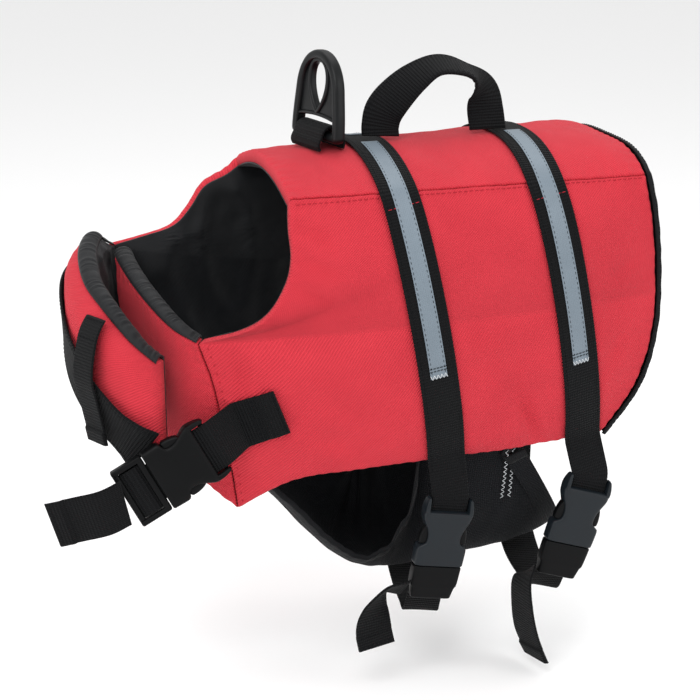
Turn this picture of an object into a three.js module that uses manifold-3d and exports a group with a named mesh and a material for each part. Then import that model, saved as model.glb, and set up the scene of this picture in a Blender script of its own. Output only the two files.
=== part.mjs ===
// Small dog life jacket, filled out as it is when worn, with its neck, leg and rear openings open.
// Millimetres. +X runs to the tail, -Y is the wearer's left, +Z is up.
// The origin is where the wearer's back bears, on the underside of the back pad.

import * as THREE from 'three';
import { mergeVertices } from 'three/addons/utils/BufferGeometryUtils.js';
import Module from 'manifold-3d';

const wasm = await Module();
wasm.setup();

// Driving dimensions

const SEAM = 0.3;
const LINING = 1.2;
const WEBBING = { width: 25, thick: 1.8, lift: 0.9 };
const TAPE = { width: 11, thick: 0.5, lift: 0.5, end: -113, spine: 12 };
const PAD = { edge: 7, swell: 5.5, hollow: 3 };
const FOLD = { half: 68, z: 3, mitre: 12, margin: 8, steps: [-2, 0.5, 2.2] };
const BACK_PAD = { edge: 7, swell: 1.5, hollow: 12.6 };
const CHEST_WEB = { width: 32, thick: 1.8 };
const STUB_WEB = { width: 36, thick: 1.8 };
const BELLY = { thick: 3, power: 2.6, seated: -45, blend: 25, gap: 0.75 };
const BINDING = { deep: 4.5, proud: 0.9 };
const RIM = { rise: 3.5, lift: 0.5 };
const GIRTH_BUCKLE = { width: 34, thick: 11, web: 26 };
const CHEST_BUCKLE = { width: 41, thick: 12, web: 31 };
const RING = { width: 56, height: 56, thick: 8, bar: 6, barX: -77, barRise: 8.2 };
const RING_TURN = { yaw: THREE.MathUtils.degToRad(13), lean: THREE.MathUtils.degToRad(4) };
const LOOP = { width: 35, thick: 1.8, clear: 0.5, foot: 12 };
const HANDLE = { width: 25, thick: 3 };

// Half widths of the body at three levels, from chest to tail
const BODY = [
  { x: -205, fold: 63, waist: 61, hem: 54 },
  { x: -172, fold: 66, waist: 57, hem: 49 },
  { x: -117, fold: 68, waist: 69, hem: 55 },
  { x: -40, fold: 68, waist: 77, hem: 60 },
  { x: 40, fold: 68, waist: 78, hem: 60 },
  { x: 140, fold: 68, waist: 70, hem: 56 },
];

// Height of the back along its spine, and how square its crown is
const CROWN = [
  { x: -118, z: 16.5, square: 2 },
  { x: -67, z: 19.3, square: 2 },
  { x: -25, z: 21, square: 2 },
  { x: 20, z: 21.7, square: 2.2 },
  { x: 60, z: 21.8, square: 2.6 },
  { x: 96, z: 22, square: 3.5 },
  { x: 110, z: 20, square: 4 },
  { x: 125, z: 16, square: 4 },
];

// The far side's extra width at the chest, and the levels of the three half widths
const BODY_FAR_CHEST = { from: -110, out: 9 };
const LEVEL = { fold: 3, waist: -80, hem: -178 };

// Cut edges of the two side pads, as seen from the side
const NEAR = {
  side: -1,
  foldFront: -116,
  foldRear: 120,
  neck: [
    { x: -116, z: 3 },
    { x: -116, z: -16 },
    { x: -115, z: -35 },
    { x: -119, z: -52 },
    { x: -131, z: -71 },
    { x: -149, z: -81 },
    { x: -172, z: -86 },
  ],
  crease: [
    { x: -172, z: -86 },
    { x: -161, z: -121 },
    { x: -153, z: -160 },
    { x: -146, z: -200 },
  ],
  hem: [
    { x: -146, z: -200 },
    { x: -108, z: -183 },
    { x: -62, z: -179 },
    { x: 0, z: -176 },
    { x: 55, z: -174 },
    { x: 98, z: -171 },
  ],
  rear: [
    { x: 120, z: 3 },
    { x: 125, z: -24 },
    { x: 128.5, z: -67 },
    { x: 128, z: -103 },
    { x: 120, z: -137 },
    { x: 98, z: -171 },
  ],
};
const FAR = {
  side: 1,
  foldFront: -113,
  foldRear: 121,
  neck: [
    { x: -113, z: 3 },
    { x: -122, z: -4 },
    { x: -137, z: -12 },
    { x: -148, z: -27 },
    { x: -160, z: -38 },
    { x: -180, z: -43 },
    { x: -203, z: -48 },
  ],
  crease: [
    { x: -203, z: -48 },
    { x: -194, z: -86 },
    { x: -185, z: -124 },
    { x: -176, z: -160 },
  ],
  hem: [
    { x: -176, z: -160 },
    { x: -135, z: -171 },
    { x: -70, z: -177 },
    { x: 0, z: -176 },
    { x: 55, z: -174 },
    { x: 98, z: -170 },
  ],
  rear: [
    { x: 121, z: 3 },
    { x: 126, z: -24 },
    { x: 129, z: -67 },
    { x: 128, z: -103 },
    { x: 120, z: -137 },
    { x: 98, z: -170 },
  ],
};

// Chest flaps: the top edge and the bottom edge of each, from its sewn end to its free end
const INNER_FLAP = {
  pad: NEAR,
  sewnFrom: 0.44,
  sewnTo: 1,
  edge: 10,
  swell: 4,
  hollow: 2,
  rows: [
    { x: -172.3, y: -57.4, top: -86, lowX: -146.3, lowY: -50.3, low: -200 },
    { x: -184, y: -44, top: -80, lowX: -166, lowY: -43, low: -182 },
    { x: -192, y: -26, top: -72, lowX: -182, lowY: -25, low: -168 },
    { x: -198, y: 2, top: -63, lowX: -190, lowY: 2, low: -155 },
    { x: -201, y: 28, top: -55, lowX: -193, lowY: 25, low: -142 },
    { x: -201, y: 44, top: -51, lowX: -192, lowY: 41, low: -134 },
  ],
};
const OUTER_FLAP = {
  pad: FAR,
  sewnFrom: 0.44,
  sewnTo: 0.7,
  edge: 10,
  swell: 11,
  hollow: 1,
  rows: [
    { x: -203.4, y: 61.5, top: -48, lowX: -192, lowY: 61, low: -101 },
    { x: -217, y: 53, top: -41, lowX: -211, lowY: 52, low: -102 },
    { x: -227, y: 30, top: -46, lowX: -224, lowY: 28, low: -108 },
    { x: -230, y: 0, top: -57, lowX: -229, lowY: -2, low: -123 },
    { x: -225, y: -26, top: -67, lowX: -224, lowY: -28, low: -139 },
    { x: -213, y: -48, top: -83, lowX: -211, lowY: -49, low: -152 },
    { x: -199, y: -60, top: -96, lowX: -198, lowY: -60, low: -159 },
  ],
};

// Belly panel: its keel from the rear edge forward to the chest, its half width and the rise of its two sides
const BELLY_ROWS = [
  { x: 91, z: -246, half: 45, near: 80, far: 80 },
  { x: 74, z: -257, half: 46, near: 94, far: 94 },
  { x: 45, z: -264, half: 47, near: 102, far: 102 },
  { x: 0, z: -268, half: 47.5, near: 106, far: 106 },
  { x: -20, z: -269, half: 47, near: 106, far: 107 },
  { x: -30, z: -269, half: 46, near: 84, far: 102 },
  { x: -39, z: -268, half: 45, near: 50, far: 88 },
  { x: -50, z: -266, half: 42, near: 26, far: 72 },
  { x: -66, z: -260, half: 38, near: 14, far: 62 },
  { x: -88, z: -241, half: 35, near: 10, far: 46 },
  { x: -110, z: -214, half: 33, near: 8, far: 24 },
  { x: -135, z: -189, half: 30, near: 6, far: 12 },
  { x: -160, z: -174, half: 26, near: 3, far: 8 },
];

// Girth straps: place at the fold, slant towards the tail on the way down, and the loose run under the belly
const GIRTH_STRAPS = [
  {
    name: 'front',
    foldX: -47,
    slant: 0.2,
    top: { x: -9, y: -66, z: -202 },
    bottom: { x: -21, y: -61, z: -271 },
    under: [
      { x: -6, y: 62, z: -196 },
      { x: -6, y: 58, z: -228 },
      { x: -8, y: 38, z: -264 },
      { x: -13, y: 4, z: -281 },
      { x: -19, y: -30, z: -285, az: -0.08 },
      { x: -21.8, y: -46, z: -286, az: -0.17 },
      { x: -22, y: -54.5, z: -283.5, az: -0.17 },
    ],
    tail: [
      { x: -36.9, y: -60, z: -263, ax: 0, ay: -0.75, az: 0.66 },
      { x: -50, y: -61, z: -263, ax: -0.3, ay: -0.8, az: 0.4 },
      { x: -57, y: -60, z: -274, ax: -0.8, ay: -0.5, az: 0 },
      { x: -58, y: -58, z: -289, ax: -1, ay: -0.1, az: 0 },
      { x: -55, y: -56, z: -304, ax: -1, ay: 0, az: 0 },
    ],
  },
  {
    name: 'rear',
    foldX: 50,
    slant: 0.195,
    top: { x: 91, y: -62, z: -200 },
    bottom: { x: 69, y: -58, z: -268 },
    under: [
      { x: 88, y: 59, z: -188 },
      { x: 84, y: 54, z: -222 },
      { x: 76, y: 36, z: -254 },
      { x: 68, y: 0, z: -270 },
      { x: 66, y: -32, z: -279, az: -0.15 },
      { x: 66.5, y: -42, z: -281.5, az: -0.31 },
      { x: 66.5, y: -51, z: -279.5, az: -0.31 },
    ],
    tail: [
      { x: 54.2, y: -58, z: -261, ax: 0, ay: -0.75, az: 0.66 },
      { x: 46, y: -60, z: -268, ax: 0.1, ay: -0.95, az: 0.2 },
      { x: 46, y: -60, z: -284, ax: 0.2, ay: -1, az: 0 },
      { x: 51, y: -57, z: -307, ax: 0.3, ay: -1, az: 0 },
      { x: 60, y: -55, z: -327, ax: 0.25, ay: -1, az: 0 },
    ],
  },
];

// Chest buckle between its webbing end and its strap end, with the strap and its tail
const CHEST = {
  top: { x: -166, y: -73, z: -146 },
  bottom: { x: -222, y: -70, z: -177 },
  facing: { x: -0.15, y: -1, z: 0.1 },
  stubRear: { x: -121, z: -130 },
  stubLeaves: { x: -146, z: -140 },
  strapPlace: [
    { u: 0.06, v: 0.5 },
    { u: 0.2, v: 0.52 },
    { u: 0.38, v: 0.58 },
    { u: 0.55, v: 0.68 },
    { u: 0.7, v: 0.77 },
    { u: 0.8, v: 0.83 },
  ],
  strapEnd: [
    { x: -213, y: -56.9, z: -145.5, ax: -0.15, ay: 0.45, az: -0.88 },
    { x: -206.5, y: -59, z: -150.5, ax: -0.1, ay: 0.25, az: -0.96 },
  ],
  tail: [
    { x: -223.7, y: -74, z: -177.2 },
    { x: -237, y: -77, z: -181 },
    { x: -252, y: -72, z: -185 },
    { x: -267, y: -66, z: -189 },
  ],
};
const KEEPER = { width: 20, thick: 1.8, u: 0.69, hang: 40, drift: 8 };

// Keeper tab: how far it stands off the flap on its way down to the chest strap that it crosses
const KEEPER_ROWS = [
  { v: 0.03, lift: 2.8 },
  { v: 0.1, lift: 2.8 },
  { v: 0.2, lift: 3.2 },
  { v: 0.4, lift: 5.4 },
  { v: 0.55, lift: 6.2 },
];

// Grab handle: a band that rises from the spine, slopes back as a grip and comes down again
const HANDLE_ROWS = [
  { x: -38, y: -7, z: 26.4, ax: 1, ay: 0, az: 0 },
  { x: -37.5, y: -3, z: 32, ax: 1, ay: 0, az: 0 },
  { x: -35, y: 0, z: 41, ax: 0.9, ay: 0.35, az: -0.2 },
  { x: -25, y: 0, z: 50, ax: 0.5, ay: 0.8, az: 0 },
  { x: -12, y: 0, z: 60, ax: 0.2, ay: 0.9, az: 0.3 },
  { x: 1, y: 0, z: 66.5, ax: 0.1, ay: 0.9, az: 0.35 },
  { x: 14, y: 0, z: 66, ax: 0.2, ay: 0.9, az: 0.25 },
  { x: 27, y: 0, z: 60, ax: 0.5, ay: 0.85, az: 0 },
  { x: 34, y: 0, z: 50, ax: 0.9, ay: 0.4, az: 0 },
  { x: 35, y: -2, z: 38, ax: 1, ay: 0, az: 0 },
  { x: 35, y: -7, z: 26.2, ax: 1, ay: 0, az: 0 },
];

// Colours of the finishes
const FINISH = {
  red: { color: 0xe2434f, roughness: 0.85, metalness: 0 },
  lining: { color: 0x1c1e23, roughness: 0.6, metalness: 0 },
  mesh: { color: 0x141417, roughness: 0.8, metalness: 0 },
  webbing: { color: 0x121214, roughness: 0.8, metalness: 0 },
  tape: { color: 0x9fb0bc, roughness: 0.4, metalness: 0.2 },
  plastic: { color: 0x20262b, roughness: 0.45, metalness: 0 },
};

const group = new THREE.Group();

function vector(x, y, z) {
  return new THREE.Vector3(x, y, z);
}

function mix(a, b, t) {
  return a.clone().lerp(b, t);
}

function spread(count) {
  return Array.from({ length: count + 1 }, (_, i) => i / count);
}

// Steps from 0 to 1 that lie closer together at both ends
function graded(count) {
  return spread(count).map((t) => t - 0.09 * Math.sin(2 * Math.PI * t));
}

// A smooth value of one column of a table, against x
function column(table, key, name, at) {
  const last = table.length - 1;
  let i = 0;
  while (i < last - 1 && at > table[i + 1][key]) i += 1;
  const slope = (k) => {
    const a = table[Math.max(k - 1, 0)];
    const b = table[Math.min(k + 1, last)];
    return (b[name] - a[name]) / (b[key] - a[key]);
  };
  const step = table[i + 1][key] - table[i][key];
  const t = Math.min(Math.max((at - table[i][key]) / step, 0), 1);
  const rise = table[i + 1][name] - table[i][name];
  const start = slope(i) * step;
  const stop = slope(i + 1) * step;
  const bend = t * t * (3 - 2 * t);
  return table[i][name] + rise * bend + start * t * (1 - t) ** 2 - stop * t * t * (1 - t);
}

function curve(points) {
  const places = points.map((p) => vector(p.x, p.y ?? 0, p.z));
  return new THREE.CatmullRomCurve3(places, false, 'catmullrom', 0.5);
}

// How full a padded panel is: 1 in the middle, falling to 0 at its four edges
function fill(u, v) {
  return (1 - Math.abs(2 * u - 1) ** 4) * (1 - Math.abs(2 * v - 1) ** 4);
}

// One closed body from rings of points, with both ends capped
function loft(rings) {
  const size = rings[0].length;
  const half = size / 2;
  const position = rings.flat().flatMap((p) => [p.x, p.y, p.z]);
  const index = [];
  const at = (i, j) => i * size + (j % size);
  for (let i = 0; i < rings.length - 1; i += 1) {
    for (let j = 0; j < size; j += 1) {
      if (j < half) {
        index.push(at(i, j), at(i + 1, j), at(i + 1, j + 1), at(i, j), at(i + 1, j + 1), at(i, j + 1));
      } else {
        index.push(at(i, j), at(i + 1, j), at(i, j + 1), at(i + 1, j), at(i + 1, j + 1), at(i, j + 1));
      }
    }
  }
  for (let j = 0; j < half - 1; j += 1) {
    const k = size - 1 - j;
    const end = rings.length - 1;
    index.push(at(0, j), at(0, j + 1), at(0, k - 1), at(0, j), at(0, k - 1), at(0, k));
    index.push(at(end, j), at(end, k - 1), at(end, j + 1), at(end, j), at(end, k), at(end, k - 1));
  }
  return outward(position, index);
}

// Turns a closed mesh's faces outwards
function outward(position, index) {
  const p = (i) => vector(position[3 * i], position[3 * i + 1], position[3 * i + 2]);
  let volume = 0;
  for (let i = 0; i < index.length; i += 3) {
    volume += p(index[i]).dot(p(index[i + 1]).cross(p(index[i + 2])));
  }
  if (volume < 0) index.reverse();
  const geometry = new THREE.BufferGeometry();
  geometry.setAttribute('position', new THREE.Float32BufferAttribute(position, 3));
  geometry.setIndex(index);
  return geometry;
}

// A wall between an outer and an inner face, each a function of two parameters
function wall(us, vs, outer, inner) {
  return loft(us.map((u) => [...vs.map((v) => outer(u, v)), ...vs.map((v) => inner(u, v)).reverse()]));
}

// A flat band along places that each have a direction across and a direction out
function band(places, width, thick) {
  return loft(
    places.map(({ at, across, out }) => {
      const left = at.clone().addScaledVector(across, -width / 2);
      const right = at.clone().addScaledVector(across, width / 2);
      return [
        left.clone().addScaledVector(out, thick),
        right.clone().addScaledVector(out, thick),
        right,
        left,
      ];
    }),
  );
}

function solid(geometry) {
  const plain = new THREE.BufferGeometry();
  plain.setAttribute('position', geometry.getAttribute('position'));
  if (geometry.index) plain.setIndex(geometry.index);
  const merged = mergeVertices(plain, 1e-4);
  return new wasm.Manifold(
    new wasm.Mesh({
      numProp: 3,
      vertProperties: new Float32Array(merged.getAttribute('position').array),
      triVerts: new Uint32Array(merged.index.array),
    }),
  );
}

function surface(body) {
  const mesh = body.getMesh();
  const geometry = new THREE.BufferGeometry();
  geometry.setAttribute('position', new THREE.BufferAttribute(mesh.vertProperties, 3));
  geometry.setIndex(new THREE.BufferAttribute(mesh.triVerts, 1));
  return geometry;
}

function piece(name, geometry, finish) {
  const mesh = new THREE.Mesh(geometry, new THREE.MeshStandardMaterial(FINISH[finish]));
  mesh.name = name;
  group.add(mesh);
  return mesh;
}

// Half width of the body at a place on one side, before the padding swells it
function halfWidth(cut, x, z) {
  const at = (name) => column(BODY, 'x', name, x);
  const lift = Math.max(0, (BODY_FAR_CHEST.from - x) / 95) ** 1.5;
  const extra = cut.side > 0 ? BODY_FAR_CHEST.out * lift : 0;
  const toWaist = (z - LEVEL.fold) / (LEVEL.waist - LEVEL.fold);
  const whole = (z - LEVEL.fold) / (LEVEL.hem - LEVEL.fold);
  const share = (LEVEL.waist - LEVEL.fold) / (LEVEL.hem - LEVEL.fold);
  const fold = at('fold') * (1 - toWaist) * (1 - whole);
  const waist = ((at('waist') + extra * 0.2) * whole * (1 - whole)) / (share * (1 - share));
  const hem = (at('hem') + extra) * whole * ((whole - share) / (1 - share));
  return fold + waist + hem;
}

// Side pads: a patch between the four cut edges, raised to the body's half width
function sideCut(cut) {
  const neck = curve(cut.neck);
  const crease = curve(cut.crease);
  const rear = curve(cut.rear);
  const hem = curve(cut.hem);
  const share = 0.44;
  const front = (v) => (v < share ? neck.getPoint(v / share) : crease.getPoint((v - share) / (1 - share)));
  const top = (u) => vector(cut.foldFront + (cut.foldRear - cut.foldFront) * u, 0, FOLD.z);
  return { front, top, rear: (v) => rear.getPoint(v), hem: (u) => hem.getPoint(u) };
}

NEAR.edges = sideCut(NEAR);
FAR.edges = sideCut(FAR);

function sidePlace(cut, u, v) {
  const { front, top, rear, hem } = cut.edges;
  const across = mix(front(v), rear(v), u);
  const down = mix(top(u), hem(u), v);
  const corners = mix(mix(top(0), top(1), u), mix(hem(0), hem(1), u), v);
  return across.add(down).sub(corners);
}

// Direction into the wearer: level on the side, turned down at the fold and forward at the chest crease
function sideInward(cut, u, v) {
  const place = sidePlace(cut, u, v);
  const nearFold = Math.exp(-(FOLD.z - place.z) / FOLD.mitre);
  const nearCrease = Math.exp(-u / 0.06) * Math.min(Math.max((v - 0.3) / 0.14, 0), 1);
  const slope = (halfWidth(cut, place.x + 1, place.z) - halfWidth(cut, place.x - 1, place.z)) / 2;
  const lean = (halfWidth(cut, place.x, place.z + 1) - halfWidth(cut, place.x, place.z - 1)) / 2;
  const tilt = lean * (1 - nearFold) - nearFold;
  return vector(slope + nearCrease * 0.55, -cut.side, tilt).normalize();
}

function sidePoint(cut, u, v, depth) {
  const place = sidePlace(cut, u, v);
  const inset = SEAM * 0.71 * (1 - v) ** 8;
  const y = cut.side * halfWidth(cut, place.x, place.z);
  return vector(place.x, y, place.z - inset).addScaledVector(sideInward(cut, u, v), depth);
}

function sideOuter(cut, u, v) {
  return sidePoint(cut, u, v, -PAD.swell * fill(u, v));
}

function sideInner(cut, u, v, extra = 0) {
  return sidePoint(cut, u, v, PAD.edge + PAD.hollow * fill(u, v) + extra);
}

// Parameters of a side pad at a given x and z
function locate(cut, x, z) {
  let u = 0.5;
  let v = 0.5;
  const step = 0.001;
  for (let turn = 0; turn < 12; turn += 1) {
    const here = sidePlace(cut, u, v);
    const du = sidePlace(cut, u + step, v).sub(here).divideScalar(step);
    const dv = sidePlace(cut, u, v + step).sub(here).divideScalar(step);
    const det = du.x * dv.z - dv.x * du.z;
    const dx = x - here.x;
    const dz = z - here.z;
    u += (dx * dv.z - dv.x * dz) / det;
    v += (du.x * dz - dx * du.z) / det;
    u = Math.min(Math.max(u, 0.002), 0.997);
    v = Math.min(Math.max(v, 0.002), 0.997);
  }
  return [u, v];
}

// Back pad: a crowned panel between the two folds
function backPlace(u, v) {
  const across = 2 * v - 1;
  const reach = (a, b) => (a + b) / 2 + ((b - a) / 2) * across;
  const front = reach(NEAR.foldFront, FAR.foldFront);
  const rear = reach(NEAR.foldRear, FAR.foldRear);
  return vector(front + (rear - front) * u, across * (FOLD.half - SEAM * 0.71), 0);
}

function crownHeight(x) {
  return column(CROWN, 'x', 'z', x);
}

// Direction into the wearer: down at the spine, turned towards the middle at the folds
function backInward(v) {
  const across = 2 * v - 1;
  const mitre = Math.exp((-FOLD.half * (1 - Math.abs(across))) / FOLD.mitre);
  const lean = across * 0.3 * (1 - mitre) + Math.sign(across) * mitre;
  return vector(0, -lean, -1).normalize();
}

function backPoint(u, v, depth) {
  const place = backPlace(u, v);
  const across = 2 * v - 1;
  const square = column(CROWN, 'x', 'square', place.x);
  const z = FOLD.z + (crownHeight(place.x) - FOLD.z) * (1 - Math.abs(across) ** square);
  return place.setZ(z).addScaledVector(backInward(v), depth);
}

function backOuter(u, v) {
  return backPoint(u, v, -BACK_PAD.swell * fill(u, v));
}

function backInner(u, v, extra = 0) {
  return backPoint(u, v, BACK_PAD.edge + BACK_PAD.hollow * fill(u, v) + extra);
}

function buildBody() {
  const us = graded(14);
  const vs = graded(10);
  const backVs = graded(8);
  piece('back_pad', wall(us, backVs, backOuter, (u, v) => backInner(u, v)), 'red');
  const skin = (inner) => [(u, v) => inner(u, v, SEAM), (u, v) => inner(u, v, SEAM + LINING)];
  piece('lining_back', wall(us, backVs, ...skin(backInner)), 'lining');
  for (const [label, cut] of [['near', NEAR], ['far', FAR]]) {
    const inner = (u, v, extra) => sideInner(cut, u, v, extra);
    piece(`side_pad_${label}`, wall(us, vs, (u, v) => sideOuter(cut, u, v), inner), 'red');
    piece(`lining_${label}`, wall(us, vs, ...skin(inner)), 'lining');
  }
}

// Chest flaps

function flapEdges(flap) {
  const top = curve(flap.rows.map((r) => ({ x: r.x, y: r.y, z: r.top })));
  const low = curve(flap.rows.map((r) => ({ x: r.lowX, y: r.lowY, z: r.low })));
  return { top, low };
}

INNER_FLAP.edges = flapEdges(INNER_FLAP);
OUTER_FLAP.edges = flapEdges(OUTER_FLAP);

// The sewn end of a flap lies along a stretch of the side pad's crease, a seam's gap in front of it
function sewnEnd(flap, v) {
  const place = flap.sewnFrom + (flap.sewnTo - flap.sewnFrom) * v;
  const at = sidePoint(flap.pad, 0, place, 0).add(vector(-SEAM * 2.5, 0, 0));
  return { at, inward: sideInward(flap.pad, 0, place) };
}

// Level direction from a flap's face into the body
function flapInward(flap, u, v) {
  const along = flap.edges.top.getTangent(u);
  const level = vector(along.y, -along.x, 0).normalize();
  if (level.x < 0) level.negate();
  const sewn = Math.max(0, 1 - 6 * u) ** 2;
  return mix(level, sewnEnd(flap, v).inward, sewn).normalize();
}

function flapPoint(flap, u, v, depth) {
  const place = mix(flap.edges.top.getPoint(u), flap.edges.low.getPoint(u), v);
  const start = mix(flap.edges.top.getPoint(0), flap.edges.low.getPoint(0), v);
  const seat = sewnEnd(flap, v).at.sub(start).multiplyScalar(Math.max(0, 1 - 4 * u) ** 2);
  return place.add(seat).addScaledVector(flapInward(flap, u, v), depth);
}

function flapOuter(flap, u, v) {
  return flapPoint(flap, u, v, -flap.swell * fill(u, v));
}

function flapInner(flap, u, v, extra = 0) {
  return flapPoint(flap, u, v, flap.edge + flap.hollow * fill(u, v) + extra);
}

function buildFlap(label, flap) {
  const us = graded(13);
  const vs = graded(6);
  const inner = (u, v, extra) => flapInner(flap, u, v, extra);
  piece(`chest_flap_${label}`, wall(us, vs, (u, v) => flapOuter(flap, u, v), inner), 'red');
  const near = (u, v) => inner(u, v, SEAM);
  const deep = (u, v) => inner(u, v, SEAM + LINING);
  piece(`lining_flap_${label}`, wall(us, vs, near, deep), 'lining');
  const rings = us.map((u) => {
    const start = flapPoint(flap, u, 0, -0.2);
    const stop = flapPoint(flap, u, 0, flap.edge + SEAM + LINING);
    const low = RIM.lift;
    const rise = RIM.rise * Math.min(0.3 + 5 * u, 1);
    const arch = [0, 0.25, 0.5, 0.75, 1].map((t) => {
      const high = low + 0.6 + rise * Math.sin(Math.PI * t) ** 0.7;
      return mix(start, stop, t).add(vector(0, 0, high));
    });
    const base = [1, 0.75, 0.5, 0.25, 0].map((t) => mix(start, stop, t).add(vector(0, 0, low)));
    return [...arch, ...base];
  });
  piece(`rim_flap_${label}`, loft(rings), 'lining');
}

// Rear binding: a strip round the rear edge of both side pads and the back pad
function buildBinding() {
  const side = (cut) =>
    graded(10).map((t) => {
      const v = 0.995 - 0.995 * t;
      const place = sidePlace(cut, 1, v);
      const along = sidePlace(cut, 1, Math.min(v + 0.01, 1)).sub(sidePlace(cut, 1, Math.max(v - 0.01, 0)));
      const back = vector(-along.z, 0, along.x).normalize();
      const outer = sideOuter(cut, 1, v).addScaledVector(sideInward(cut, 1, v), -BINDING.proud);
      const inner = sideInner(cut, 1, v, SEAM + LINING + BINDING.proud);
      return { outer, inner, back: back.x < 0 ? back.negate() : back, place };
    });
  const top = graded(8).slice(1, -1).map((v) => {
    const outer = backOuter(1, v).addScaledVector(vector(0, 0, 1), BINDING.proud);
    const inner = backInner(1, v, SEAM + LINING + BINDING.proud);
    return { outer, inner, back: vector(1, 0, 0) };
  });
  const rings = [...side(NEAR), ...top, ...side(FAR).reverse()].map(({ outer, inner, back }) => {
    const start = SEAM + 0.1;
    const stop = start + BINDING.deep;
    const face = (p, d) => p.clone().addScaledVector(back, d);
    const middle = mix(outer, inner, 0.5);
    return [face(outer, start), face(outer, stop - 1), face(middle, stop), face(inner, stop - 1),
      face(inner, start), face(middle, start)];
  });
  piece('rear_binding', loft(rings), 'webbing');
}

// Half width at which the belly panel's upper edge lies against the lining of one side
function liningWidth(cut, x, z) {
  const on = (at) => sideInner(cut, ...locate(cut, at.x, at.z), SEAM + LINING);
  const wish = vector(x, 0, z);
  const first = on(wish);
  const again = on(wish.clone().multiplyScalar(2).sub(first));
  return Math.abs(again.y) - BELLY.gap;
}

// Belly panel: a hammock whose wide part is sewn inside both sides, narrowing to a bridge between the leg openings
function buildBelly() {
  const keel = curve(BELLY_ROWS);
  const last = BELLY_ROWS.length - 1;
  const rows = BELLY_ROWS.map((row, i) => ({ ...row, t: i / last }));
  const point = (u, v, depth) => {
    const place = keel.getPoint(u);
    const along = keel.getTangent(u);
    const up = vector(along.z, 0, -along.x).normalize();
    const across = 2 * v - 1;
    const bend = Math.abs(across) ** BELLY.power;
    const rise = column(rows, 't', across < 0 ? 'near' : 'far', u);
    const edge = place.clone().addScaledVector(up, rise);
    const seated = Math.min(Math.max((edge.x - BELLY.seated) / BELLY.blend, 0), 1);
    const free = column(rows, 't', 'half', u);
    const sewn = seated > 0 ? liningWidth(across < 0 ? NEAR : FAR, edge.x, edge.z) : free;
    const half = free + (sewn - free) * seated;
    const inward = mix(up, vector(0, -Math.sign(across), 0), Math.min((bend * rise) / 60, 1)).normalize();
    place.y = across * half * (0.9 + 0.1 * Math.sqrt(Math.abs(across)));
    return place.addScaledVector(up, rise * bend).addScaledVector(inward, depth);
  };
  const us = spread(24);
  const vs = graded(10);
  piece('belly_panel', wall(us, vs, (u, v) => point(u, v, 0), (u, v) => point(u, v, BELLY.thick)), 'mesh');
}

// A place on a side pad's face for a strap: its centre, its direction across and its direction out
function onSide(cut, x, z) {
  const [u, v] = locate(cut, x, z);
  return { at: sideOuter(cut, u, v), out: sideInward(cut, u, v).negate() };
}

function onBack(x, y) {
  const v = (y / FOLD.half + 1) / 2;
  const [front, rear] = [backPlace(0, v).x, backPlace(1, v).x];
  const u = (x - front) / (rear - front);
  return { at: backOuter(u, v), across: vector(1, 0, 0), out: backInward(v).negate() };
}

// The run of a girth strap over one side, from its low end to the fold
function sideRun(cut, strap, lowest, steps) {
  return [...spread(steps), ...FOLD.steps].map((t, i) => {
    const reach = i > steps ? t : (FOLD.z - FOLD.margin - lowest) * t + lowest;
    const z = Math.min(reach, FOLD.z - 0.2);
    const x = strap.foldX + strap.slant * (FOLD.z - z);
    const place = onSide(cut, x, z);
    const across = vector(1, 0, strap.slant);
    return { ...place, across: across.addScaledVector(place.out, -across.dot(place.out)).normalize() };
  });
}

function lifted(places, lift) {
  return places.map((p) => ({ ...p, at: p.at.clone().addScaledVector(p.out, lift) }));
}

function backRun(strap, from, to, steps) {
  return spread(steps).map((t) => onBack(strap.foldX, from + (to - from) * t));
}

// The run over the back between the two folds, with close steps beside each fold
function wholeBackRun(strap) {
  const edge = FOLD.half - 1;
  const inner = FOLD.half - 8;
  const start = [-edge, -edge + 3].map((y) => onBack(strap.foldX, y));
  const stop = [edge - 3, edge].map((y) => onBack(strap.foldX, y));
  return [...start, ...backRun(strap, -inner, inner, 10), ...stop];
}

function buildGirthStrap(strap) {
  const hem = -170;
  const frame = buckleFrame(strap);
  const nearEdge = sideRun(NEAR, strap, hem, 1)[0];
  const nearEnd = {
    at: frame.start.clone().addScaledVector(frame.along, -0.6).addScaledVector(frame.out, -1.5),
    across: frame.across.clone().negate(),
    out: frame.out,
  };
  const nearMiddle = { ...nearEdge, at: mix(nearEdge.at, nearEnd.at, 0.5) };
  const farEdge = sideRun(FAR, strap, hem, 1)[0];
  const low = vector(strap.under[0].x, strap.under[0].y + 1, strap.under[0].z + 0.8);
  const farRun = [0.5, 1].map((t) => ({ ...farEdge, at: mix(farEdge.at, low, t) }));
  const run = [
    nearEnd,
    nearMiddle,
    ...sideRun(NEAR, strap, hem, 15),
    ...wholeBackRun(strap),
    ...sideRun(FAR, strap, hem, 15).reverse(),
    ...farRun,
  ];
  piece(`girth_strap_${strap.name}`, band(lifted(run, WEBBING.lift), WEBBING.width, WEBBING.thick), 'webbing');

  const onTop = WEBBING.lift + WEBBING.thick + TAPE.lift;
  for (const [label, cut, sign] of [['near', NEAR, -1], ['far', FAR, 1]]) {
    const beside = [1, 4].map((gap) => onBack(strap.foldX, sign * (FOLD.half - gap)));
    const tape = [
      ...sideRun(cut, strap, TAPE.end, 11),
      ...beside,
      ...backRun(strap, sign * (FOLD.half - 8), sign * TAPE.spine, 4),
    ];
    piece(`tape_${strap.name}_${label}`, band(lifted(tape, onTop), TAPE.width, TAPE.thick), 'tape');
  }
}

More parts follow.
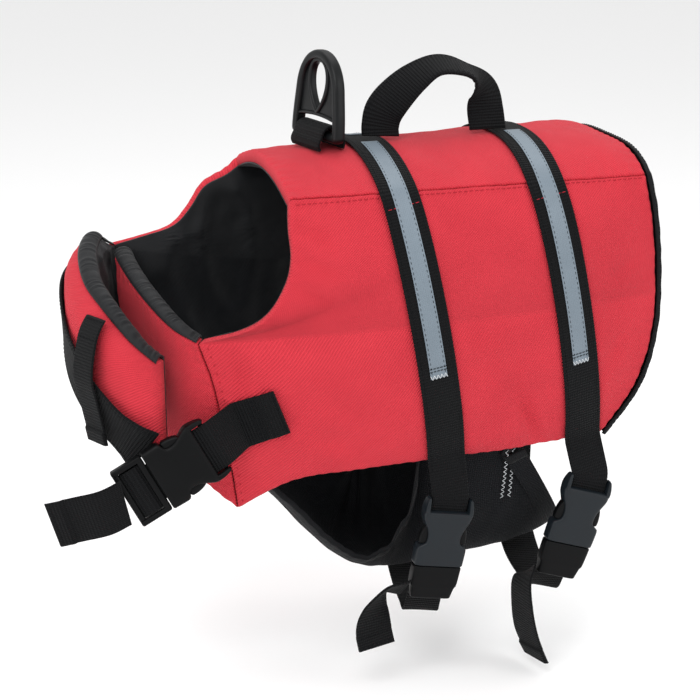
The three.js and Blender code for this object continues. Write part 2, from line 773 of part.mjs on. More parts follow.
// A band along free points, with the direction of its width given at each
function freeRun(rows, steps) {
  const path = curve(rows);
  const last = rows.length - 1;
  const widths = rows.map(({ ax = 1, ay = 0, az = 0 }, i) => ({ t: i / last, ax, ay, az }));
  return spread(steps).map((t) => {
    const along = path.getTangent(t);
    const [x, y, z] = ['ax', 'ay', 'az'].map((name) => column(widths, 't', name, t));
    const wish = vector(x, y, z);
    const across = wish.addScaledVector(along, -wish.dot(along)).normalize();
    return { at: path.getPoint(t), across, out: along.clone().cross(across).normalize() };
  });
}

function buildUnderStrap(strap) {
  const { stop, along, out } = buckleFrame(strap);
  const ends = [7, 0.6].map((gap) => stop.clone().addScaledVector(along, gap).addScaledVector(out, -2));
  const run = freeRun([...strap.under, ...ends], 24);
  piece(`belly_strap_${strap.name}`, band(run, WEBBING.width, WEBBING.thick), 'webbing');
  piece(`tail_${strap.name}`, band(freeRun(strap.tail, 12), WEBBING.width, WEBBING.thick), 'webbing');
}

// Where a buckle starts and stops, with its directions along, across and out of its face
function buckleFrame({ top, bottom, facing = { x: 0, y: -1, z: 0 } }) {
  const start = vector(top.x, top.y, top.z);
  const stop = vector(bottom.x, bottom.y, bottom.z);
  const along = stop.clone().sub(start).normalize();
  const wish = vector(facing.x, facing.y, facing.z);
  const out = wish.addScaledVector(along, -wish.dot(along)).normalize();
  return { start, stop, along, out, across: along.clone().cross(out).normalize() };
}

// Side-release buckle, flat in X and Y with its length down Y, in two halves
function rounded(width, y0, y1, corner) {
  const shape = new THREE.Shape();
  const w = width / 2;
  shape.moveTo(-w + corner, y0);
  shape.lineTo(w - corner, y0);
  shape.lineTo(w, y0 + corner);
  shape.lineTo(w, y1 - corner);
  shape.lineTo(w - corner, y1);
  shape.lineTo(-w + corner, y1);
  shape.lineTo(-w, y1 - corner);
  shape.lineTo(-w, y0 + corner);
  shape.closePath();
  return shape;
}

function slab(shape, z0, z1) {
  const geometry = new THREE.ExtrudeGeometry(shape, { depth: z1 - z0, bevelEnabled: false });
  geometry.translate(0, 0, z0);
  return solid(geometry);
}

function buckle({ length, width, thick, web }) {
  const mouth = length * 0.66;
  const windowTop = length * 0.25;
  const windowLow = length * 0.45;
  const inside = width / 2 - 4.5;
  let socket = slab(rounded(width, 0, mouth, 3), 0, thick);
  socket = socket.subtract(slab(rounded(web, 3.5, 8, 1), -1, thick + 1));
  socket = socket.subtract(slab(rounded(2 * inside, length * 0.19, mouth + 1, 1), 2.2, thick - 2.2));
  for (const side of [-1, 1]) {
    const gap = rounded(12, windowTop, windowLow, 2.5);
    const cut = slab(gap, -1, thick + 1).translate([side * (width / 2 + 0.5), 0, 0]);
    socket = socket.subtract(cut);
  }
  let plug = slab(rounded(width - 1, mouth + SEAM, length, 3), 0.8, thick - 0.8);
  plug = plug.subtract(slab(rounded(web, length * 0.76, length * 0.82, 1), -1, thick + 1));
  plug = plug.subtract(slab(rounded(web, length * 0.88, length * 0.94, 1), -1, thick + 1));
  plug = plug.add(slab(rounded(5, length * 0.36, mouth + 2, 1.5), 2.8, thick - 2.8));
  for (const side of [-1, 1]) {
    const arm = slab(rounded(4, windowTop + 2, mouth + 2, 1.5), 2.8, thick - 2.8);
    plug = plug.add(arm.translate([side * (inside - 2.6), 0, 0]));
    const lug = slab(rounded(7, windowTop + 1.5, windowLow - 1.5, 3), 2.8, thick - 2.8);
    plug = plug.add(lug.translate([side * (inside + 0.8), 0, 0]));
  }
  return { socket: surface(socket), plug: surface(plug) };
}

// Places a buckle's two halves between its webbing end and its strap end
function buildBuckle(name, sizes, ends) {
  const { start, stop, along, across, out } = buckleFrame(ends);
  const halves = buckle({ ...sizes, length: stop.distanceTo(start) });
  const origin = start.clone().addScaledVector(out, -sizes.thick / 2);
  for (const half of ['socket', 'plug']) {
    const mesh = piece(`buckle_${name}_${half}`, halves[half], 'plastic');
    mesh.position.copy(origin);
    mesh.quaternion.setFromRotationMatrix(new THREE.Matrix4().makeBasis(across, along, out));
  }
}

// Chest strap, its tail, its stub and the keeper tab
function onOuterFlap(u, v) {
  const step = 0.01;
  const at = flapOuter(OUTER_FLAP, u, v);
  const down = flapOuter(OUTER_FLAP, u, v + step).sub(flapOuter(OUTER_FLAP, u, v - step)).normalize();
  return { at, across: down, out: flapInward(OUTER_FLAP, u, v).negate() };
}

function buildChest() {
  const place = curve(CHEST.strapPlace.map((p) => ({ x: p.u, z: p.v })));
  const run = spread(16).map((t) => {
    const { x: u, z: v } = place.getPoint(t);
    return onOuterFlap(u, v);
  });
  for (const [i, p] of run.entries()) {
    const before = run[Math.max(i - 1, 0)].at;
    const after = run[Math.min(i + 1, run.length - 1)].at;
    const along = after.clone().sub(before).normalize();
    p.across = p.across.clone().addScaledVector(along, -p.across.dot(along)).normalize();
  }
  const frame = buckleFrame(CHEST);
  const behind = CHEST.strapEnd.map(({ x, y, z, ax, ay, az }) => {
    const across = vector(ax, ay, az).normalize();
    const out = frame.out.clone().addScaledVector(across, -across.dot(frame.out)).normalize();
    return { at: vector(x, y, z), across, out };
  });
  const strap = [...lifted(run, WEBBING.lift), ...behind];
  piece('chest_strap', band(strap, CHEST_WEB.width, CHEST_WEB.thick), 'webbing');

  const tail = curve(CHEST.tail);
  const tailRun = spread(8).map((t) => {
    const along = tail.getTangent(t);
    const wish = vector(0.25, 0.15, -0.95);
    const across = wish.addScaledVector(along, -wish.dot(along)).normalize();
    return { at: tail.getPoint(t), across, out: along.clone().cross(across).normalize() };
  });
  piece('tail_chest', band(tailRun, CHEST_WEB.width, CHEST_WEB.thick), 'webbing');

  const { stubRear, stubLeaves } = CHEST;
  const slope = vector(stubLeaves.x - stubRear.x, 0, stubLeaves.z - stubRear.z).normalize();
  const stub = spread(4).map((t) => {
    const x = stubRear.x + (stubLeaves.x - stubRear.x) * t;
    const z = stubRear.z + (stubLeaves.z - stubRear.z) * t;
    return { ...onSide(NEAR, x, z), across: vector(slope.z, 0, -slope.x) };
  });
  const leaves = stub.at(-1);
  const bar = frame.start.clone().addScaledVector(frame.along, -0.6);
  for (const t of spread(3).slice(1)) {
    const across = mix(leaves.across, frame.across, t).normalize();
    stub.push({ at: mix(leaves.at, bar, t), across, out: mix(leaves.out, frame.out, t).normalize() });
  }
  piece('chest_stub', band(lifted(stub, WEBBING.lift), STUB_WEB.width, STUB_WEB.thick), 'webbing');

  const seat = onOuterFlap(KEEPER.u, KEEPER_ROWS.at(-1).v);
  const across = vector(-seat.out.y, seat.out.x, 0).normalize();
  const keeper = KEEPER_ROWS.map(({ v, lift }) => {
    const { at } = onOuterFlap(KEEPER.u, v);
    return { at: at.addScaledVector(seat.out, lift), across, out: seat.out };
  });
  const hung = keeper.at(-1);
  for (const t of spread(4).slice(1)) {
    keeper.push({ ...hung, at: hung.at.clone().add(vector(KEEPER.drift * t, -2 * t, -KEEPER.hang * t)) });
  }
  piece('keeper_tab', band(keeper, KEEPER.width, KEEPER.thick), 'webbing');
}

// Leash ring: a shield-shaped plate with an eye, and a slot above its bar
function ringShape() {
  const w = RING.width / 2;
  const h = RING.height;
  const shape = new THREE.Shape();
  shape.moveTo(-w + 3, 0);
  shape.lineTo(w - 3, 0);
  shape.absarc(w - 3, 3, 3, -Math.PI / 2, 0, false);
  shape.bezierCurveTo(w, 14, w - 2, 24, w - 3, 32);
  shape.bezierCurveTo(w - 5, h - 10, 13, h, 0, h);
  shape.bezierCurveTo(-13, h, -w + 5, h - 10, -w + 3, 32);
  shape.bezierCurveTo(-w + 2, 24, -w, 14, -w, 3);
  shape.absarc(-w + 3, 3, 3, Math.PI, 1.5 * Math.PI, false);
  const eye = new THREE.Path();
  eye.moveTo(0, 20);
  eye.bezierCurveTo(6, 26, 8.5, 32, 8.5, 38);
  eye.bezierCurveTo(8.5, h - 11, 5, h - 8, 0, h - 8);
  eye.bezierCurveTo(-5, h - 8, -8.5, h - 11, -8.5, 38);
  eye.bezierCurveTo(-8.5, 32, -6, 26, 0, 20);
  const slot = new THREE.Path();
  const s = LOOP.width / 2 + 2;
  slot.moveTo(-s, RING.bar);
  slot.lineTo(s, RING.bar);
  slot.lineTo(s - 1, RING.bar + 5);
  slot.quadraticCurveTo(0, RING.bar + 11, -s + 1, RING.bar + 5);
  slot.closePath();
  shape.holes.push(eye, slot);
  return shape;
}

function buildRing() {
  const geometry = new THREE.ExtrudeGeometry(ringShape(), {
    depth: RING.thick - 2,
    bevelThickness: 1,
    bevelSize: 0.9,
    bevelOffset: -0.9,
    bevelSegments: 1,
    curveSegments: 5,
  });
  geometry.translate(0, 0, -RING.thick / 2 + 1);
  const mesh = piece('leash_ring', geometry, 'plastic');
  const barHeight = crownHeight(RING.barX) + BACK_PAD.swell + RING.barRise;
  const along = vector(-Math.sin(RING_TURN.yaw), Math.cos(RING_TURN.yaw), 0);
  const back = vector(Math.cos(RING_TURN.yaw), Math.sin(RING_TURN.yaw), 0);
  const up = vector(0, 0, Math.cos(RING_TURN.lean)).addScaledVector(back, Math.sin(RING_TURN.lean));
  const plate = new THREE.Matrix4().makeBasis(along, up, along.clone().cross(up));
  mesh.quaternion.setFromRotationMatrix(plate);
  mesh.position.set(RING.barX, 0, barHeight).addScaledVector(up, -RING.bar / 2);

  const radius = Math.hypot(RING.bar, RING.thick) / 2 + LOOP.clear;
  const fore = back.clone().negate();
  const centre = vector(RING.barX, 0, barHeight);
  const drop = barHeight - crownHeight(RING.barX) - BACK_PAD.swell - 0.75;
  const profile = [
    { a: LOOP.foot, z: -drop },
    { a: radius + 1.5, z: -drop },
    { a: radius, z: -drop + 3.5 },
    ...spread(8).map((t) => ({ a: radius * Math.cos(Math.PI * t), z: radius * Math.sin(Math.PI * t) })),
    { a: -radius, z: -drop + 3.5 },
    { a: -radius - 1.5, z: -drop },
    { a: -LOOP.foot, z: -drop },
  ];
  const places = profile.map((p) => centre.clone().addScaledVector(fore, p.a).add(vector(0, 0, p.z)));
  const run = places.map((at, i) => {
    const before = places[Math.max(i - 1, 0)];
    const after = places[Math.min(i + 1, places.length - 1)];
    const dir = after.clone().sub(before).normalize();
    return { at, across: along.clone(), out: along.clone().cross(dir).normalize() };
  });
  if (run[5].out.z < 0) run.forEach((p) => p.out.negate());
  piece('ring_loop', band(run, LOOP.width, LOOP.thick), 'webbing');
}

function buildHandle() {
  const run = freeRun(HANDLE_ROWS, 36);
  piece('handle', band(run, HANDLE.width, HANDLE.thick), 'webbing');
}

buildBody();
buildFlap('inner', INNER_FLAP);
buildFlap('outer', OUTER_FLAP);
buildBinding();
buildBelly();
for (const strap of GIRTH_STRAPS) {
  buildGirthStrap(strap);
  buildUnderStrap(strap);
  buildBuckle(strap.name, GIRTH_BUCKLE, strap);
}
buildBuckle('chest', CHEST_BUCKLE, CHEST);
buildChest();
buildRing();
buildHandle();

export default group;
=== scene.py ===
"""Looks of a small dog life jacket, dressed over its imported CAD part.

The tables below are the garment's cut in millimetres, in the part's own frame: +X to the tail,
-Y the wearer's left, +Z up, with the origin where the wearer's back bears.
"""

import logging
import math
from collections.abc import Callable, Sequence
from dataclasses import dataclass, field
from enum import Enum

import bpy
import numpy as np
from mathutils import Matrix, Vector


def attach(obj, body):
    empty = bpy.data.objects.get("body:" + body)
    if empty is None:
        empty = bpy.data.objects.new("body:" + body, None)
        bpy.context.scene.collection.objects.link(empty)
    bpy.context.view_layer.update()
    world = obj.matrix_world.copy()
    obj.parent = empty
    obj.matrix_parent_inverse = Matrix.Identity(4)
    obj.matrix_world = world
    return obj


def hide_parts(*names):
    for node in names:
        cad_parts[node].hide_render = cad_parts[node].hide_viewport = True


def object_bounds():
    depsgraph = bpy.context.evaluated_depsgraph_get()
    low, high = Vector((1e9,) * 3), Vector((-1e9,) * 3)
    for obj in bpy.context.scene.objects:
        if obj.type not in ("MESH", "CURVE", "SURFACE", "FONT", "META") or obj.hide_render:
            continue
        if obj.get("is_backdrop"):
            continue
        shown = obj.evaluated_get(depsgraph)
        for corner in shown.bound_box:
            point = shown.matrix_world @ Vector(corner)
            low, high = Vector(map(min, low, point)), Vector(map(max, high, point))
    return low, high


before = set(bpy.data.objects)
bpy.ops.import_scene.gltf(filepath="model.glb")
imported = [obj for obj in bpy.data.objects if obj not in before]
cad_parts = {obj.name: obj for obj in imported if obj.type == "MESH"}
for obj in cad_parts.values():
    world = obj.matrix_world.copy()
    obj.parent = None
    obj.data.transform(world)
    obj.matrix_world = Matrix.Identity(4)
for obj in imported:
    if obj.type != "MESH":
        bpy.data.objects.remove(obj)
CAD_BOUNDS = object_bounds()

LOG = logging.getLogger("life_jacket")
Array = np.ndarray
Table = dict[str, Array]
MM = 0.001
TURN = 2 * math.pi
BODY = "jacket"


def table(columns: str, *rows: Sequence[float]) -> Table:
    """A short table with named columns.

    Args:
        columns: The columns' names, with spaces between them.
        rows: One row of numbers for each section.

    Returns:
        An array for each column's name.
    """
    values = np.array(rows, float)
    return {name: values[:, i] for i, name in enumerate(columns.split())}


# Driving dimensions

SEAM = 0.3
LINING_THICK = 1.2
WEB_WIDTH, WEB_THICK, WEB_LIFT = 25.0, 1.7, 0.35
TAPE_WIDTH, TAPE_THICK, TAPE_END, TAPE_SPINE = 11.0, 0.4, -113.0, 12.0
FOLD_HALF, FOLD_Z, FOLD_MITRE = 68.0, 3.0, 12.0
LEVEL_WAIST, LEVEL_HEM = -80.0, -178.0
FAR_CHEST_FROM, FAR_CHEST_OUT = -110.0, 9.0
PAD_EDGE, PAD_SWELL, PAD_HOLLOW = 7.0, 5.5, 3.0
BACK_EDGE, BACK_SWELL, BACK_HOLLOW = 7.0, 1.5, 12.6
NECK_SHARE = 0.44
STITCH, STITCH_GAP, THREAD_RADIUS = 2.6, 1.0, 0.26
CHEST_WIDTH, STUB_WIDTH, KEEPER_WIDTH, LOOP_WIDTH = 32.0, 31.0, 20.0, 35.0
HANDLE_THICK, BINDING_WIDTH, EASED = 2.8, 21.0, 14

WIDTHS = table(
    "x fold waist hem",
    (-205, 63, 61, 54),
    (-172, 66, 57, 49),
    (-117, 68, 69, 55),
    (-40, 68, 77, 60),
    (40, 68, 78, 60),
    (140, 68, 70, 56),
)
CROWN = table(
    "x z square",
    (-118, 16.5, 2),
    (-67, 19.3, 2),
    (-25, 21, 2),
    (20, 21.7, 2.2),
    (60, 21.8, 2.6),
    (96, 22, 3.5),
    (110, 20, 4),
    (125, 16, 4),
)
BELLY_ROWS = table(
    "x z half near far",
    (91, -246, 45, 80, 80),
    (74, -257, 46, 94, 94),
    (45, -264, 47, 102, 102),
    (0, -268, 47.5, 106, 106),
    (-20, -269, 47, 106, 107),
    (-30, -269, 46, 84, 102),
    (-39, -268, 45, 50, 88),
    (-50, -266, 42, 26, 72),
    (-66, -260, 38, 14, 62),
    (-88, -241, 35, 10, 46),
    (-110, -214, 33, 8, 24),
    (-135, -189, 30, 6, 12),
    (-160, -174, 26, 3, 8),
)
HANDLE_ROWS = table(
    "x y z ax ay az",
    (-38, -7, 25.6, -1, 0, 0),
    (-37.5, -5, 32, -1, 0, 0),
    (-34, -3, 41, -0.93, 0.25, 0.3),
    (-24, -1, 51, -0.6, 0.65, 0.5),
    (-12, 0, 60, -0.2, 0.85, 0.5),
    (1, 0, 66.5, 0.1, 0.9, 0.35),
    (14, 0, 66, 0.2, 0.9, 0.25),
    (27, 0, 60, 0.5, 0.85, 0),
    (34, 0, 50, 0.9, 0.4, 0),
    (35, -2, 38, 1, 0, 0),
    (35, -7, 25.8, 1, 0, 0),
)


def column(rows: Table, key: str, name: str, at: Array) -> Array:
    """A smooth value of one column of a table, against another column that rises.

    Args:
        rows: The table.
        key: The column that rises.
        name: The column whose value is wanted.
        at: Places along the first.

    Returns:
        The values: a cubic between two rows, whose slopes are those of the chords past them.
    """
    x, y = rows[key], rows[name]
    last = len(x) - 1
    at = np.asarray(at, float)
    i = np.clip(np.searchsorted(x, at, side="left") - 1, 0, last - 1)

    def slope(k: Array) -> Array:
        """The slope at a row: that of the chord between its two neighbours."""
        a, b = np.maximum(k - 1, 0), np.minimum(k + 1, last)
        return (y[b] - y[a]) / (x[b] - x[a])

    step = x[i + 1] - x[i]
    t = np.clip((at - x[i]) / step, 0, 1)
    bend = t * t * (3 - 2 * t)
    start = slope(i) * step * t * (1 - t) ** 2
    stop = slope(i + 1) * step * t * t * (1 - t)
    return y[i] + (y[i + 1] - y[i]) * bend + start - stop


def stack(*parts: Array) -> Array:
    """Points from their coordinates."""
    return np.stack(np.broadcast_arrays(*[np.asarray(p, float) for p in parts]), axis=-1)


def unit(v: Array) -> Array:
    """The directions of some vectors."""
    return v / np.maximum(np.linalg.norm(v, axis=-1, keepdims=True), 1e-12)


def mix(a: Array, b: Array, t: Array) -> Array:
    """Points between a and b, with t of shape (...) or a number."""
    share = np.asarray(t, float)[..., None]
    return a * (1 - share) + b * share


def ripple(points: Array, length: float, seed: int) -> Array:
    """Uneven waves of about that length, from -1 to 1.

    Args:
        points: Places, in any number of dimensions.
        length: The waves' rough length.
        seed: The seed of their directions and phases.

    Returns:
        A quarter of the sum of eight sines.
    """
    rng = np.random.default_rng(seed)
    total = np.zeros(points.shape[:-1])
    for _ in range(8):
        direction = rng.normal(size=points.shape[-1])
        direction /= np.linalg.norm(direction) * length * rng.uniform(0.7, 1.6)
        total += np.sin(TURN * (points @ direction) + rng.uniform(0, TURN))
    return total / 4


class Spline:
    """A smooth curve through points, the same as the part's own."""

    def __init__(self, points: Array) -> None:
        """Keeps the points, with one more past each end.

        Args:
            points: The points that the curve goes through.
        """
        p = np.asarray(points, float)
        self.knots = np.concatenate([[2 * p[0] - p[1]], p, [2 * p[-1] - p[-2]]])
        self.spans = len(p) - 1

    def at(self, t: Array) -> Array:
        """Points at t, which runs from 0 to 1.

        Args:
            t: Places along the curve.

        Returns:
            A cubic through the points, whose slopes are those of the chords past each.
        """
        s = np.clip(np.asarray(t, float), 0, 1) * self.spans
        i = np.minimum(s.astype(int), self.spans - 1)
        f = (s - i)[..., None]
        a, b, c, d = (self.knots[i + k] for k in range(4))
        start, stop = 0.5 * (c - a), 0.5 * (d - b)
        cubic = (2 * b - 2 * c + start + stop) * f**3
        square = (3 * c - 3 * b - 2 * start - stop) * f**2
        return cubic + square + start * f + b

    def tangent(self, t: Array) -> Array:
        """Directions along the curve."""
        low, high = np.maximum(np.asarray(t) - 1e-4, 0), np.minimum(np.asarray(t) + 1e-4, 1)
        return unit(self.at(high) - self.at(low))


def fill(u: Array, v: Array) -> Array:
    """How full a padded panel is: 1 in the middle, falling to 0 at its four edges."""
    return (1 - np.abs(2 * u - 1) ** 4) * (1 - np.abs(2 * v - 1) ** 4)


@dataclass(frozen=True)
class Crease:
    """A soft trough in a panel, from one place to another in the panel's own flat coordinates."""

    start: tuple[float, float]
    stop: tuple[float, float]
    depth: float
    width: float
    bow: float = 0.0

    def relief(self, x: Array, z: Array) -> Array:
        """Height at each place, below 0 in the trough, with a low ridge on both its sides.

        Args:
            x: Places along the panel.
            z: Places down it.

        Returns:
            A bell of that depth across the line, faded to 0 at both ends.
        """
        a, b = np.array(self.start), np.array(self.stop)
        length = np.linalg.norm(b - a)
        along = (b - a) / length
        dx, dz = x - a[0], z - a[1]
        t = (dx * along[0] + dz * along[1]) / length
        off = dx * -along[1] + dz * along[0] - self.bow * 4 * t * (1 - t)
        ends = np.clip(np.sin(np.pi * np.clip(t, 0, 1)), 0, 1) ** 0.6 * ((t > 0) & (t < 1))
        wave = np.exp(-((off / self.width) ** 2)) - 0.45 * np.exp(-((np.abs(off) / self.width - 1.7) ** 2))
        return -self.depth * ends * wave


@dataclass
class SidePad:
    """One side pad, as a patch between its four cut edges raised to the body's half width."""

    side: int
    fold_front: float
    fold_rear: float
    neck: Spline
    crease: Spline
    hem: Spline
    rear: Spline

    def front(self, v: Array) -> Array:
        """The front edge: the neck, then the chest crease.

        Args:
            v: Places down it, from 0 to 1.

        Returns:
            Places in X and Z.
        """
        upper = self.neck.at(np.clip(v / NECK_SHARE, 0, 1))
        lower = self.crease.at(np.clip((v - NECK_SHARE) / (1 - NECK_SHARE), 0, 1))
        return np.where((v < NECK_SHARE)[..., None], upper, lower)

    def eased_front(self, u: Array, v: Array) -> Array:
        """The front edge as the panel feels it: a mean over v whose reach grows away from the edge.

        Args:
            u: Places along the panel.
            v: Places down it.

        Returns:
            Places in X and Z.
        """
        reach = 0.22 * np.clip(u / 0.35, 0, 1) * 4 * v * (1 - v)
        shifts = np.linspace(-1, 1, 9)
        return sum(self.front(v + shift * reach) for shift in shifts) / len(shifts)

    def top(self, u: Array) -> Array:
        """The fold, where the back pad starts."""
        return stack(self.fold_front + (self.fold_rear - self.fold_front) * u, FOLD_Z)

    def place(self, u: Array, v: Array) -> Array:
        """Places in X and Z.

        Args:
            u: Places along the panel, from 0 to 1.
            v: Places down it, from 0 to 1.

        Returns:
            A Coons patch between the four edges: both blends, less that of the corners.
        """
        u, v = np.broadcast_arrays(np.asarray(u, float), np.asarray(v, float))
        zero, one = np.zeros_like(u), np.ones_like(u)
        across = mix(self.eased_front(u, v), self.rear.at(v), u)
        down = mix(self.top(u), self.hem.at(u), v)
        ends = mix(self.top(zero), self.top(one), u)
        low = mix(self.hem.at(zero), self.hem.at(one), u)
        return across + down - mix(ends, low, v)

    def half_width(self, x: Array, z: Array) -> Array:
        """Half width of the body, before the padding swells it.

        Args:
            x: Places along the body.
            z: Heights.

        Returns:
            A parabola through the widths at the fold, the waist and the hem.
        """
        lift = np.maximum(0, (FAR_CHEST_FROM - x) / 95) ** 1.5
        extra = FAR_CHEST_OUT * lift if self.side > 0 else 0
        to_waist = (z - FOLD_Z) / (LEVEL_WAIST - FOLD_Z)
        whole = (z - FOLD_Z) / (LEVEL_HEM - FOLD_Z)
        share = (LEVEL_WAIST - FOLD_Z) / (LEVEL_HEM - FOLD_Z)
        fold = column(WIDTHS, "x", "fold", x) * (1 - to_waist) * (1 - whole)
        waist = column(WIDTHS, "x", "waist", x) + extra * 0.2
        waist = waist * whole * (1 - whole) / (share * (1 - share))
        hem = (column(WIDTHS, "x", "hem", x) + extra) * whole * ((whole - share) / (1 - share))
        return fold + waist + hem

    def inward(self, u: Array, v: Array) -> Array:
        """Directions into the wearer.

        Args:
            u: Places along the panel.
            v: Places over it, down or across.

        Returns:
            Unit vectors, turned at the folds to meet the next panel's.
        """
        u, v = np.broadcast_arrays(np.asarray(u, float), np.asarray(v, float))
        at = self.place(u, v)
        x, z = at[..., 0], at[..., 1]
        near_fold = np.exp(-(FOLD_Z - z) / FOLD_MITRE)
        near_crease = np.exp(-u / 0.06) * np.clip((v - 0.3) / 0.14, 0, 1)
        slope = (self.half_width(x + 1, z) - self.half_width(x - 1, z)) / 2
        lean = (self.half_width(x, z + 1) - self.half_width(x, z - 1)) / 2
        tilt = lean * (1 - near_fold) - near_fold
        return unit(stack(slope + near_crease * 0.55, -self.side, tilt))

    def point(self, u: Array, v: Array, depth: Array) -> Array:
        """Points at a depth below the face.

        Args:
            u: Places along the panel.
            v: Places over it, down or across.
            depth: How deep each lies.

        Returns:
            The points.
        """
        u, v = np.broadcast_arrays(np.asarray(u, float), np.asarray(v, float))
        at = self.place(u, v)
        y = self.side * self.half_width(at[..., 0], at[..., 1])
        inset = SEAM * 0.71 * (1 - v) ** 8
        base = stack(at[..., 0], y, at[..., 1] - inset)
        return base + self.inward(u, v) * np.asarray(depth, float)[..., None]

    def outer(self, u: Array, v: Array) -> Array:
        """Points of the outer face."""
        return self.point(u, v, -PAD_SWELL * fill(u, v))

    def inner(self, u: Array, v: Array, extra: float = 0.0) -> Array:
        """Points of the inner face, and beyond it by some depth."""
        return self.point(u, v, PAD_EDGE + PAD_HOLLOW * fill(u, v) + extra)

    def locate(self, x: Array, z: Array) -> tuple[Array, Array]:
        """The parameters of places given in X and Z.

        Args:
            x: Places along the body.
            z: Heights.

        Returns:
            Both parameters, found by twelve of Newton's steps.
        """
        x, z = np.broadcast_arrays(np.asarray(x, float), np.asarray(z, float))
        u, v = np.full(x.shape, 0.5), np.full(x.shape, 0.5)
        step = 0.001
        for _ in range(12):
            here = self.place(u, v)
            du = (self.place(u + step, v) - here) / step
            dv = (self.place(u, v + step) - here) / step
            det = du[..., 0] * dv[..., 1] - dv[..., 0] * du[..., 1]
            dx, dz = x - here[..., 0], z - here[..., 1]
            u = np.clip(u + (dx * dv[..., 1] - dv[..., 0] * dz) / det, 0.002, 0.997)
            v = np.clip(v + (du[..., 0] * dz - dx * du[..., 1]) / det, 0.002, 0.997)
        return u, v


@dataclass
class BackPad:
    """The crowned panel between the two folds."""

    near: SidePad
    far: SidePad

    def place(self, u: Array, v: Array) -> Array:
        """Places in X and Y.

        Args:
            u: Places along the panel.
            v: Places across it.

        Returns:
            The places.
        """
        across = 2 * np.asarray(v, float) - 1

        def reach(a: float, b: float) -> Array:
            """Values from the near side's to the far side's."""
            return (a + b) / 2 + ((b - a) / 2) * across

        front = reach(self.near.fold_front, self.far.fold_front)
        rear = reach(self.near.fold_rear, self.far.fold_rear)
        return stack(front + (rear - front) * u, across * (FOLD_HALF - SEAM * 0.71))

    def inward(self, u: Array, v: Array) -> Array:
        """Directions into the wearer.

        Args:
            u: Places along the panel.
            v: Places over it, down or across.

        Returns:
            Unit vectors, turned at the folds to meet the next panel's.
        """
        across = 2 * np.asarray(v, float) - 1
        mitre = np.exp((-FOLD_HALF * (1 - np.abs(across))) / FOLD_MITRE)
        lean = across * 0.3 * (1 - mitre) + np.sign(across) * mitre
        return unit(stack(0 * np.asarray(u), -lean, -1))

    def point(self, u: Array, v: Array, depth: Array) -> Array:
        """Points at a depth below the face.

        Args:
            u: Places along the panel.
            v: Places over it, down or across.
            depth: How deep each lies.

        Returns:
            The points.
        """
        u, v = np.broadcast_arrays(np.asarray(u, float), np.asarray(v, float))
        at = self.place(u, v)
        square = column(CROWN, "x", "square", at[..., 0])
        crown = column(CROWN, "x", "z", at[..., 0])
        z = FOLD_Z + (crown - FOLD_Z) * (1 - np.abs(2 * v - 1) ** square)
        return stack(at[..., 0], at[..., 1], z) + self.inward(u, v) * np.asarray(depth, float)[..., None]

    def outer(self, u: Array, v: Array) -> Array:
        """Points of the outer face."""
        return self.point(u, v, -BACK_SWELL * fill(u, v))

    def locate(self, x: Array, y: Array) -> tuple[Array, Array]:
        """The parameters of places given in X and Y.

        Args:
            x: Places along the body.
            y: Places across it.

        Returns:
            Both parameters.
        """
        x, y = np.broadcast_arrays(np.asarray(x, float), np.asarray(y, float))
        v = (y / FOLD_HALF + 1) / 2
        front = self.place(np.zeros_like(v), v)[..., 0]
        rear = self.place(np.ones_like(v), v)[..., 0]
        return (x - front) / (rear - front), v


@dataclass
class Flap:
    """A chest flap between its top edge and its bottom edge, sewn to a side pad's crease."""

    pad: SidePad
    sewn_to: float
    swell: float
    hollow: float
    rows: Table
    edge: float = 10.0

    def __post_init__(self) -> None:
        """Makes the curves of the top and the bottom edge."""
        r = self.rows
        self.top = Spline(np.stack([r["x"], r["y"], r["top"]], axis=1))
        self.low = Spline(np.stack([r["low_x"], r["low_y"], r["low"]], axis=1))

    def sewn_end(self, v: Array) -> tuple[Array, Array]:
        """Where the sewn end lies, and its direction inwards.

        Args:
            v: Places down the end.

        Returns:
            The points, and the directions.
        """
        place = NECK_SHARE + (self.sewn_to - NECK_SHARE) * v
        zero = np.zeros_like(place)
        at = self.pad.point(zero, place, zero) + np.array([-SEAM * 2.5, 0, 0])
        return at, self.pad.inward(zero, place)

    def inward(self, u: Array, v: Array) -> Array:
        """Level directions from the face into the body.

        Args:
            u: Places along the flap.
            v: Places down it.

        Returns:
            Unit vectors, which turn to the side pad's own at the sewn end.
        """
        along = self.top.tangent(u)
        level = unit(stack(along[..., 1], -along[..., 0], 0))
        level = level * np.where(level[..., :1] < 0, -1.0, 1.0)
        return unit(mix(level, self.sewn_end(v)[1], np.maximum(0, 1 - 6 * u) ** 2))

    def point(self, u: Array, v: Array, depth: Array) -> Array:
        """Points at a depth below the face.

        Args:
            u: Places along the panel.
            v: Places over it, down or across.
            depth: How deep each lies.

        Returns:
            The points.
        """
        u, v = np.broadcast_arrays(np.asarray(u, float), np.asarray(v, float))
        zero = np.zeros_like(u)
        place = mix(self.top.at(u), self.low.at(u), v)
        start = mix(self.top.at(zero), self.low.at(zero), v)
        seat = (self.sewn_end(v)[0] - start) * (np.maximum(0, 1 - 4 * u) ** 2)[..., None]
        return place + seat + self.inward(u, v) * np.asarray(depth, float)[..., None]

    def outer(self, u: Array, v: Array) -> Array:
        """Points of the outer face."""
        return self.point(u, v, -self.swell * fill(u, v))


def side_spline(*points: tuple[float, float]) -> Spline:
    """A cut edge from its places in X and Z."""
    return Spline(np.array(points, float))


